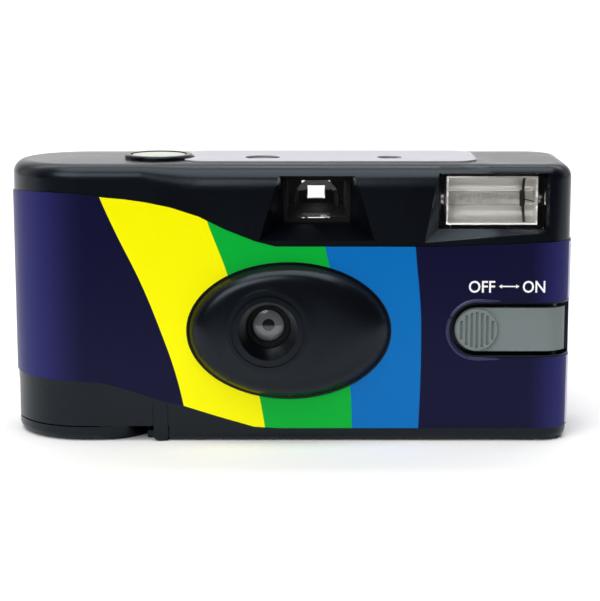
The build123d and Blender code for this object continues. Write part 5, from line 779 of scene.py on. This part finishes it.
class CAMERA_LOOKS_OT_controls(Operator):
    """Finish the button, switch, thumbwheel and dial, and print the dial's numbers"""

    bl_idname = "camera_looks.controls"
    bl_label = "Controls"

    def execute(self, context):
        plastic = looks().plastic
        dress("shutter_button", moulded_abs("moulded ABS, cream", plastic.button, 0.5, 0.22, 0.3))
        grey = moulded_abs("moulded ABS, mid grey", plastic.switch, 0.3, 0.36, 0.46)
        for name in ("flash_switch", "release_lever"):
            dress(name, grey)
        dress("thumbwheel", moulded_abs("moulded nylon, black", plastic.case, 0.25, 0.4, 0.5))
        dial = moulded_abs("moulded acetal, white", linear("#E9EAE4"), 0.6, 0.3, 0.4)
        for name in ("counter_dial", "sprocket"):
            dress(name, dial)
        ink, tree, shader = new_material("pad-printed ink, black", Roughness=0.45)
        tinted(tree, shader, linear("#15161A"), 2, 0.9)
        count = plastic.dial_numbers
        for n in range(count):
            points, faces = text_points(str(DIAL_FIRST - DIAL_STEP * n), DIAL_NUMBER_HEIGHT)
            points[:, 0] -= np.ptp(points[:, 0]) / 2
            points[:, 1] -= DIAL_NUMBER_HEIGHT / 2
            turn = math.radians(DIAL_READING_DEG + 360 * n / count)
            out = np.array([math.cos(turn), math.sin(turn)])
            across = np.array([math.sin(turn), -math.cos(turn)])
            middle = np.array(DIAL) + out * DIAL_NUMBER_RADIUS
            flat = middle + points[:, :1] * across + points[:, 1:2] * out
            placed = np.column_stack([flat, DIAL_TOP_Z + PRINT_GAP + points[:, 2]])
            mesh_piece(f"dial_number_{n}", placed, faces, ink, "counter", "cream_plastic", False)
        return {"FINISHED"}


class CAMERA_LOOKS_OT_optics(Operator):
    """Finish the lens, the finder panes, the windows and their stops"""

    bl_idname = "camera_looks.optics"
    bl_label = "Optics"

    def execute(self, context):
        glass = clear_acrylic("moulded acrylic, clear", linear("#FFFFFF"))
        for name in ("taking_lens", "finder_front_lens", "finder_eyepiece"):
            dress(name, glass)
        smoke = clear_acrylic("moulded acrylic, smoke", linear("#5C5C66"), 0.05)
        for name in ("counter_window", "ready_light"):
            dress(name, smoke)
        ring = matt_styrene("moulded styrene, lens black", looks().plastic.inner)
        dress("lens_retainer", ring)
        dress("aperture_stop", drawn_metal("satin aluminium stop", linear("#6A6D70"), 0.4))
        dress("shutter_blade", drawn_metal("blackened spring steel", linear("#1C1D20"), 0.45))
        return {"FINISHED"}


class CAMERA_LOOKS_OT_flash(Operator):
    """Finish the flash and add its end caps, trigger turns and leads"""

    bl_idname = "camera_looks.flash"
    bl_label = "Flash"

    def execute(self, context):
        dress("flash_window", clear_acrylic("moulded acrylic, flash window", linear("#FAFAFA"), 0.03))
        dress("flash_reflector", ridged_reflector("metallised polystyrene", linear("#FAF9F4")))
        tube_glass = clear_acrylic("borosilicate glass tube", linear("#FBFBFA"), 0.02)
        tree = tube_glass.node_tree
        shader = tree.nodes["Principled BSDF"]
        shader.inputs["IOR"].default_value = 1.47
        # Painted shade: seen edge on, the tube's base colour darkens and draws the dark line along each
        # side that refraction of the darker surroundings gives
        wall = node(tree, "ShaderNodeLayerWeight", in_0=0.5)
        rise = node(
            tree, "ShaderNodeMapRange", {0: wall.outputs["Facing"]}, in_1=0.45, in_2=0.9, in_3=0.0,
            in_4=1.0,
        )
        edge = node(
            tree, "ShaderNodeMix", {0: rise.outputs[0]}, data_type="RGBA", in_6=linear("#FBFBFA"),
            in_7=linear("#77746B"),
        )
        tree.links.new(edge.outputs[2], shader.inputs["Base Color"])
        dress("flash_tube", tube_glass)
        dress("ready_lamp", clear_acrylic("neon lamp glass, amber", linear("#FFB27A"), 0.04))
        steel = drawn_metal("tinned steel", linear("#B9BABD"), 0.25)
        cap = (
            (1.75, 10.2), (1.75, 11.6), (1.55, 11.9), (0.46, 11.98), (0.46, 10.05), (1.52, 10.02),
            (1.75, 10.2),
        )
        for name, side in (("left", -1), ("right", 1)):
            turned = lathe([(radius, side * along) for radius, along in cap], FLASH_TUBE)
            mesh_piece("tube_cap_" + name, *turned, steel, "camera", "bright_metal")
        x, y, z = FLASH_TUBE
        dark = drawn_metal("oxidised copper wire", linear("#3A3530"), 0.5)
        loop = np.linspace(0, 2 * np.pi, 49)
        wound = 1.66
        for n, shift in enumerate((6.55, 7.15)):
            across = np.full_like(loop, x + shift)
            path = np.column_stack([across, y + wound * np.sin(loop), z + wound * np.cos(loop)])
            mesh_piece(f"trigger_turn_{n}", *tube_along(path, 0.16, 8), dark, "camera", "winding")
        top, low = (x + 6.9, y - 3.0, z + 4.72), (x + 7.0, y - 3.0, z - 4.72)
        path = bezier(top, (x + 6.6, y - 0.7, z), low, 40)
        mesh_piece("trigger_bridge", *tube_along(path, 0.3, 8), dark, "camera", "winding")
        start, end = (x + 6.9, y - 1.7, z), (x + 9.2, y - 2.2, z - 0.5)
        path = bezier(start, (x + 8.0, y - 1.9, z - 0.1), end, 20)
        mesh_piece("trigger_end", *tube_along(path, 0.13, 8), dark, "camera", "winding")
        insulated = moulded_abs("wire sleeve, PVC", linear("#B32A22"), 0.2)
        white = moulded_abs("wire sleeve, PVC white", linear("#DDDCD4"), 0.2)
        # Each wire: name, sleeve, radius, start, bend, and the x where it meets the board
        runs = (
            ("lead_right", insulated, 0.42, (x + 13.4, y, z), (x + 13.0, y + 0.6, z - 5), 54.0),
            ("lead_left", white, 0.42, (x - 13.4, y, z), (x - 14.0, y + 0.6, z - 5), 31.5),
            ("trigger_wire", white, 0.3, (x - 7.6, y + 2.46, z - 1.5), (34.0, -5.4, 46.7), 35.5),
        )
        for name, sleeve, radius, start, bend, end_x in runs:
            path = bezier(start, bend, (end_x, BOARD_FACE_Y, BOARD_TOP_Z), 40)
            mesh_piece(name, *tube_along(path, radius), sleeve, "camera", "grey_plastic")
        return {"FINISHED"}


class CAMERA_LOOKS_OT_board(Operator):
    """Finish the board and its big parts, and add the small ones and the winding"""

    bl_idname = "camera_looks.board"
    bl_label = "Flash board"

    def execute(self, context):
        dress("flash_board", copper_board("phenolic board, masked"))
        sleeve = moulded_abs("shrink sleeve, black", linear("#1A1B20"), 0.8, 0.25, 0.35)
        dress("flash_capacitor", sleeve)
        dress("flash_transformer", matt_styrene("ferrite core", linear("#2B2A2B")))
        copper = drawn_metal("enamelled copper", linear("#B5662E"), 0.3, 0.2)
        for layer, radius in enumerate((4.62, 4.78)):
            path = helix(WINDING_FOOT, radius, 0.29, 20)
            mesh_piece(f"winding_{layer}", *tube_along(path, 0.14, 6), copper, "camera", "winding")
        tin = drawn_metal("solder and tinned leads", linear("#C3C4C6"), 0.3)
        body = moulded_abs("resistor lacquer, tan", linear("#C9A878"), 0.3)
        codes = ("#7A3B1E", "#1B1B1B", "#C8352B", "#B8912E")
        rings = [moulded_abs(f"resistor ring {n}", linear(code), 0.3) for n, code in enumerate(codes)]
        # A resistor thickens towards its ends, its rings stand 0.04 mm proud of its lacquer, and
        # its leads bend back to the board
        bulge = (
            (0, -3.1), (0.7, -3.0), (0.95, -2.6), (0.82, -2.1), (0.82, 2.1), (0.95, 2.6), (0.7, 3.0),
            (0, 3.1),
        )
        inner, outer, width, spacing = 0.8, 0.86, 0.5, 0.95
        y = -7.45
        for n, (x, z) in enumerate(((15, 23.6), (15, 19.6), (24.2, 41.0), (24.2, 17.4))):
            turned = lathe(bulge, (x, y, z), 24)
            mesh_piece(f"resistor_{n}", *turned, body, "camera", "capacitor_sleeve")
            for k, paint in enumerate(rings):
                low = -1.7 + k * spacing
                high = low + width
                band = ((inner, low), (outer, low), (outer, high), (inner, high), (inner, low))
                turned = lathe(band, (x, y, z), 24)
                mesh_piece(f"resistor_{n}_ring_{k}", *turned, paint, "camera", "capacitor_sleeve")
            for side in (-1, 1):
                start, bend = (x + side * 3.0, y, z), (x + side * 4.1, y, z)
                path = bezier(start, bend, (x + side * 4.0, -8.45, z), 14)
                lead = tube_along(path, 0.25, 8)
                mesh_piece(f"resistor_{n}_lead_{side + 1}", *lead, tin, "camera", "bright_metal")
        return {"FINISHED"}


class CAMERA_LOOKS_OT_film(Operator):
    """Finish the cartridge, its spool, the film and the roll of fresh film"""

    bl_idname = "camera_looks.film"
    bl_label = "Film and cartridge"

    def execute(self, context):
        tinplate = lacquered_tinplate("lacquered tinplate", linear("#F2F2EE"), linear("#1F8A4C"))
        dress("cartridge_shell", tinplate)
        caps = drawn_metal("tinplate caps", linear("#B8B9BC"), 0.28)
        for name in ("cartridge_cap", "cartridge_foot"):
            dress(name, caps)
        film = film_emulsion("colour film")
        for name in ("film_strip", "film_roll"):
            dress(name, film)
        # The film's edges at both ends of the roll: a flat strip wound as radius = a + b angle
        turns, sides = 9, 96
        angle = np.linspace(0, 2 * np.pi * turns, turns * sides)
        inner, outer = ROLL_RADII
        radius = inner + (outer - inner) * angle / angle[-1]
        out = np.column_stack([np.cos(angle), np.sin(angle), np.zeros_like(angle)])
        across = out * 0.1
        for name, z, side in (("top", ROLL_ENDS_Z[0], 1), ("low", ROLL_ENDS_Z[1], -1)):
            path = out * radius[:, None] + np.array([*ROLL_CENTRE, z])
            lift = np.array([0, 0, 0.06 * side])
            corners = [path - across, path - across + lift, path + across + lift, path + across]
            points = np.stack(corners, axis=1).reshape(-1, 3)
            faces = grid_faces(len(path), 4)[:, :: -side]
            mesh_piece("roll_edge_" + name, points, faces, film, "supply", "film_base", False)
        return {"FINISHED"}


class CAMERA_LOOKS_OT_power(Operator):
    """Finish the battery, the contact strips, the wheel's pawl and a merged copy of the button spring"""

    bl_idname = "camera_looks.power"
    bl_label = "Battery and contacts"

    def execute(self, context):
        cell = printed_sleeve("cell sleeve", linear("#C07A35"), linear("#202226"), 0.0, 0.4)
        dress("battery", cell)
        brass = drawn_metal("nickel-plated spring brass", linear("#C9C2A6"), 0.27)
        for name in ("contact_negative", "contact_positive", "switch_contact", "sync_contact"):
            dress(name, brass)
        spring = drawn_metal("spring wire", linear("#A9ABAF"), 0.25, 0.15)
        dress("wheel_pawl", spring)
        bending_spring(spring)
        return {"FINISHED"}


def sweep_floor():
    """The studio floor: flat, then a quarter circle up into a wall. The profile is
    y = s, z = 0 up to the bend, then y = bend + r sin a, z = r (1 - cos a), then straight up."""
    near, bend, radius, height, half_width = -140.0, 1100.0, 500.0, 1800.0, 2500.0
    angle = np.linspace(0, np.pi / 2, 40)
    profile = np.concatenate(
        [
            [[near, 0.0], [bend, 0.0]],
            np.column_stack([bend + radius * np.sin(angle[1:]), radius * (1 - np.cos(angle[1:]))]),
            [[bend + radius, height]],
        ]
    )
    rows = len(profile)
    points = np.empty((rows, 2, 3))
    points[:, :, 0] = (-half_width, half_width)
    points[:, :, 1:] = profile[:, None]
    mesh = bpy.data.meshes.new("floor")
    faces = grid_faces(rows, 2, closed=False)[:, ::-1]
    mesh.from_pydata((points.reshape(-1, 3) * MM).tolist(), [], faces.tolist())
    mesh.update()
    mesh.shade_smooth()
    floor = bpy.data.objects.new("floor", mesh)
    bpy.context.scene.collection.objects.link(floor)
    return floor


def soft_light(name, size, place_m, aim_m, power):
    """A white rectangular area light, pointed at a place."""
    light = bpy.data.lights.new(name, "AREA")
    light.shape = "RECTANGLE"
    light.size, light.size_y = size
    light.energy = power
    holder = bpy.data.objects.new(name, light)
    bpy.context.scene.collection.objects.link(holder)
    holder.location = place_m
    holder.rotation_euler = (Vector(aim_m) - Vector(place_m)).to_track_quat("-Z", "Y").to_euler()


def studio_world(room_light):
    """An even white world. For light on the object it is as dim as room_light; the camera,
    and gloss and glass that face the backdrop's side, see it as white as the backdrop."""
    world = bpy.data.worlds.new("studio")
    world.use_nodes = True
    tree = world.node_tree
    sky = tree.nodes["Background"]
    sky.inputs["Color"].default_value = linear("#FFFFFF")
    ray = node(tree, "ShaderNodeLightPath")
    direction = node(tree, "ShaderNodeTexCoord").outputs["Generated"]
    toward = node(tree, "ShaderNodeSeparateXYZ", {0: direction})
    behind = node(
        tree, "ShaderNodeMapRange", {0: toward.outputs[1]}, in_1=-0.25, in_2=0.15, in_3=0.0, in_4=1.0
    )
    mirrored = node(
        tree, "ShaderNodeMath", {0: ray.outputs["Is Glossy Ray"], 1: ray.outputs["Is Transmission Ray"]},
        operation="ADD",
    )
    facing = node(
        tree, "ShaderNodeMath", {0: mirrored.outputs[0], 1: behind.outputs[0]}, operation="MULTIPLY"
    )
    seen = node(
        tree, "ShaderNodeMath", {0: ray.outputs["Is Camera Ray"], 1: facing.outputs[0]},
        operation="MAXIMUM",
    )
    strength = node(tree, "ShaderNodeMapRange", {0: seen.outputs[0]}, in_3=room_light, in_4=1.0)
    tree.links.new(strength.outputs[0], sky.inputs["Strength"])
    return world


class CAMERA_LOOKS_OT_stage(Operator):
    """Set the floor, the lights and the camera"""

    bl_idname = "camera_looks.stage"
    bl_label = "Stage"

    def execute(self, context):
        stage = looks().stage
        scene = context.scene
        floor = sweep_floor()
        paper, tree, shader = new_material("backdrop paper, white", Roughness=0.8)
        tinted(tree, shader, linear("#F4F4F4"), 400, 0.99)
        floor.data.materials.append(paper)
        scene.view_settings.view_transform = "Standard"
        scene.world = studio_world(stage.room_light)
        middle = (0.0, 0.0, 0.03)
        soft_light("key", (0.9, 0.6), (-0.45, -0.95, 0.66), middle, stage.key_power)
        soft_light("top", (1.1, 0.7), (0.0, -0.25, 1.0), middle, stage.top_power)
        soft_light("backdrop", (3.0, 0.8), (0.0, 0.75, 1.5), (0.0, 1.5, 0.5), stage.backdrop_power)
        tilt = math.radians(stage.elevation_deg)
        aim = Vector((AIM_X, FRONT_Y, AIM_Z)) * MM
        distance = stage.distance_mm
        eye = aim + Vector((0.0, -math.cos(tilt), math.sin(tilt))) * distance * MM
        lens = bpy.data.cameras.new("camera")
        lens.sensor_width = SENSOR_MM
        lens.lens = SENSOR_MM * stage.pixels_per_mm * distance / PICTURE_PIXELS
        lens.clip_start = 0.01
        view = bpy.data.objects.new("camera", lens)
        view.location = eye
        view.rotation_euler = (aim - eye).to_track_quat("-Z", "Y").to_euler()
        scene.collection.objects.link(view)
        scene.camera = view
        return {"FINISHED"}


class CAMERA_LOOKS_PT_panel(Panel):
    """Buttons for each group, and its settings"""

    bl_idname = "CAMERA_LOOKS_PT_panel"
    bl_label = "Film camera"
    bl_space_type = "VIEW_3D"
    bl_region_type = "UI"
    bl_category = "Film camera"

    def draw(self, context):
        for step in STEPS:
            self.layout.operator(step.bl_idname)
        settings = context.scene.camera_looks
        for group in (settings.plastic, settings.label, settings.stage):
            box = self.layout.box()
            for name in group.__annotations__:
                box.prop(group, name)


class CameraLooks(PropertyGroup):
    """All the settings of this add-on."""

    plastic: PointerProperty(name="Plastic", description="Moulded pieces", type=PlasticLooks)
    label: PointerProperty(name="Label", description="Printed label", type=LabelLooks)
    stage: PointerProperty(name="Stage", description="Camera and light", type=StageLooks)


STEPS = (
    CAMERA_LOOKS_OT_case,
    CAMERA_LOOKS_OT_labels,
    CAMERA_LOOKS_OT_switch_words,
    CAMERA_LOOKS_OT_controls,
    CAMERA_LOOKS_OT_optics,
    CAMERA_LOOKS_OT_flash,
    CAMERA_LOOKS_OT_board,
    CAMERA_LOOKS_OT_film,
    CAMERA_LOOKS_OT_power,
    CAMERA_LOOKS_OT_stage,
)
CLASSES = (PlasticLooks, LabelLooks, StageLooks, CameraLooks, *STEPS, CAMERA_LOOKS_PT_panel)


def register():
    """Registers the classes and hangs the settings on the scene."""
    for entry in CLASSES:
        bpy.utils.register_class(entry)
    bpy.types.Scene.camera_looks = PointerProperty(type=CameraLooks)


def unregister():
    """Takes the settings and the classes away again."""
    del bpy.types.Scene.camera_looks
    for entry in reversed(CLASSES):
        bpy.utils.unregister_class(entry)


def main():
    """Runs every step in order."""
    register()
    bpy.ops.camera_looks.case()
    bpy.ops.camera_looks.labels()
    bpy.ops.camera_looks.switch_words()
    bpy.ops.camera_looks.controls()
    bpy.ops.camera_looks.optics()
    bpy.ops.camera_looks.flash()
    bpy.ops.camera_looks.board()
    bpy.ops.camera_looks.film()
    bpy.ops.camera_looks.power()
    bpy.ops.camera_looks.stage()


if __name__ == "__main__":
    main()
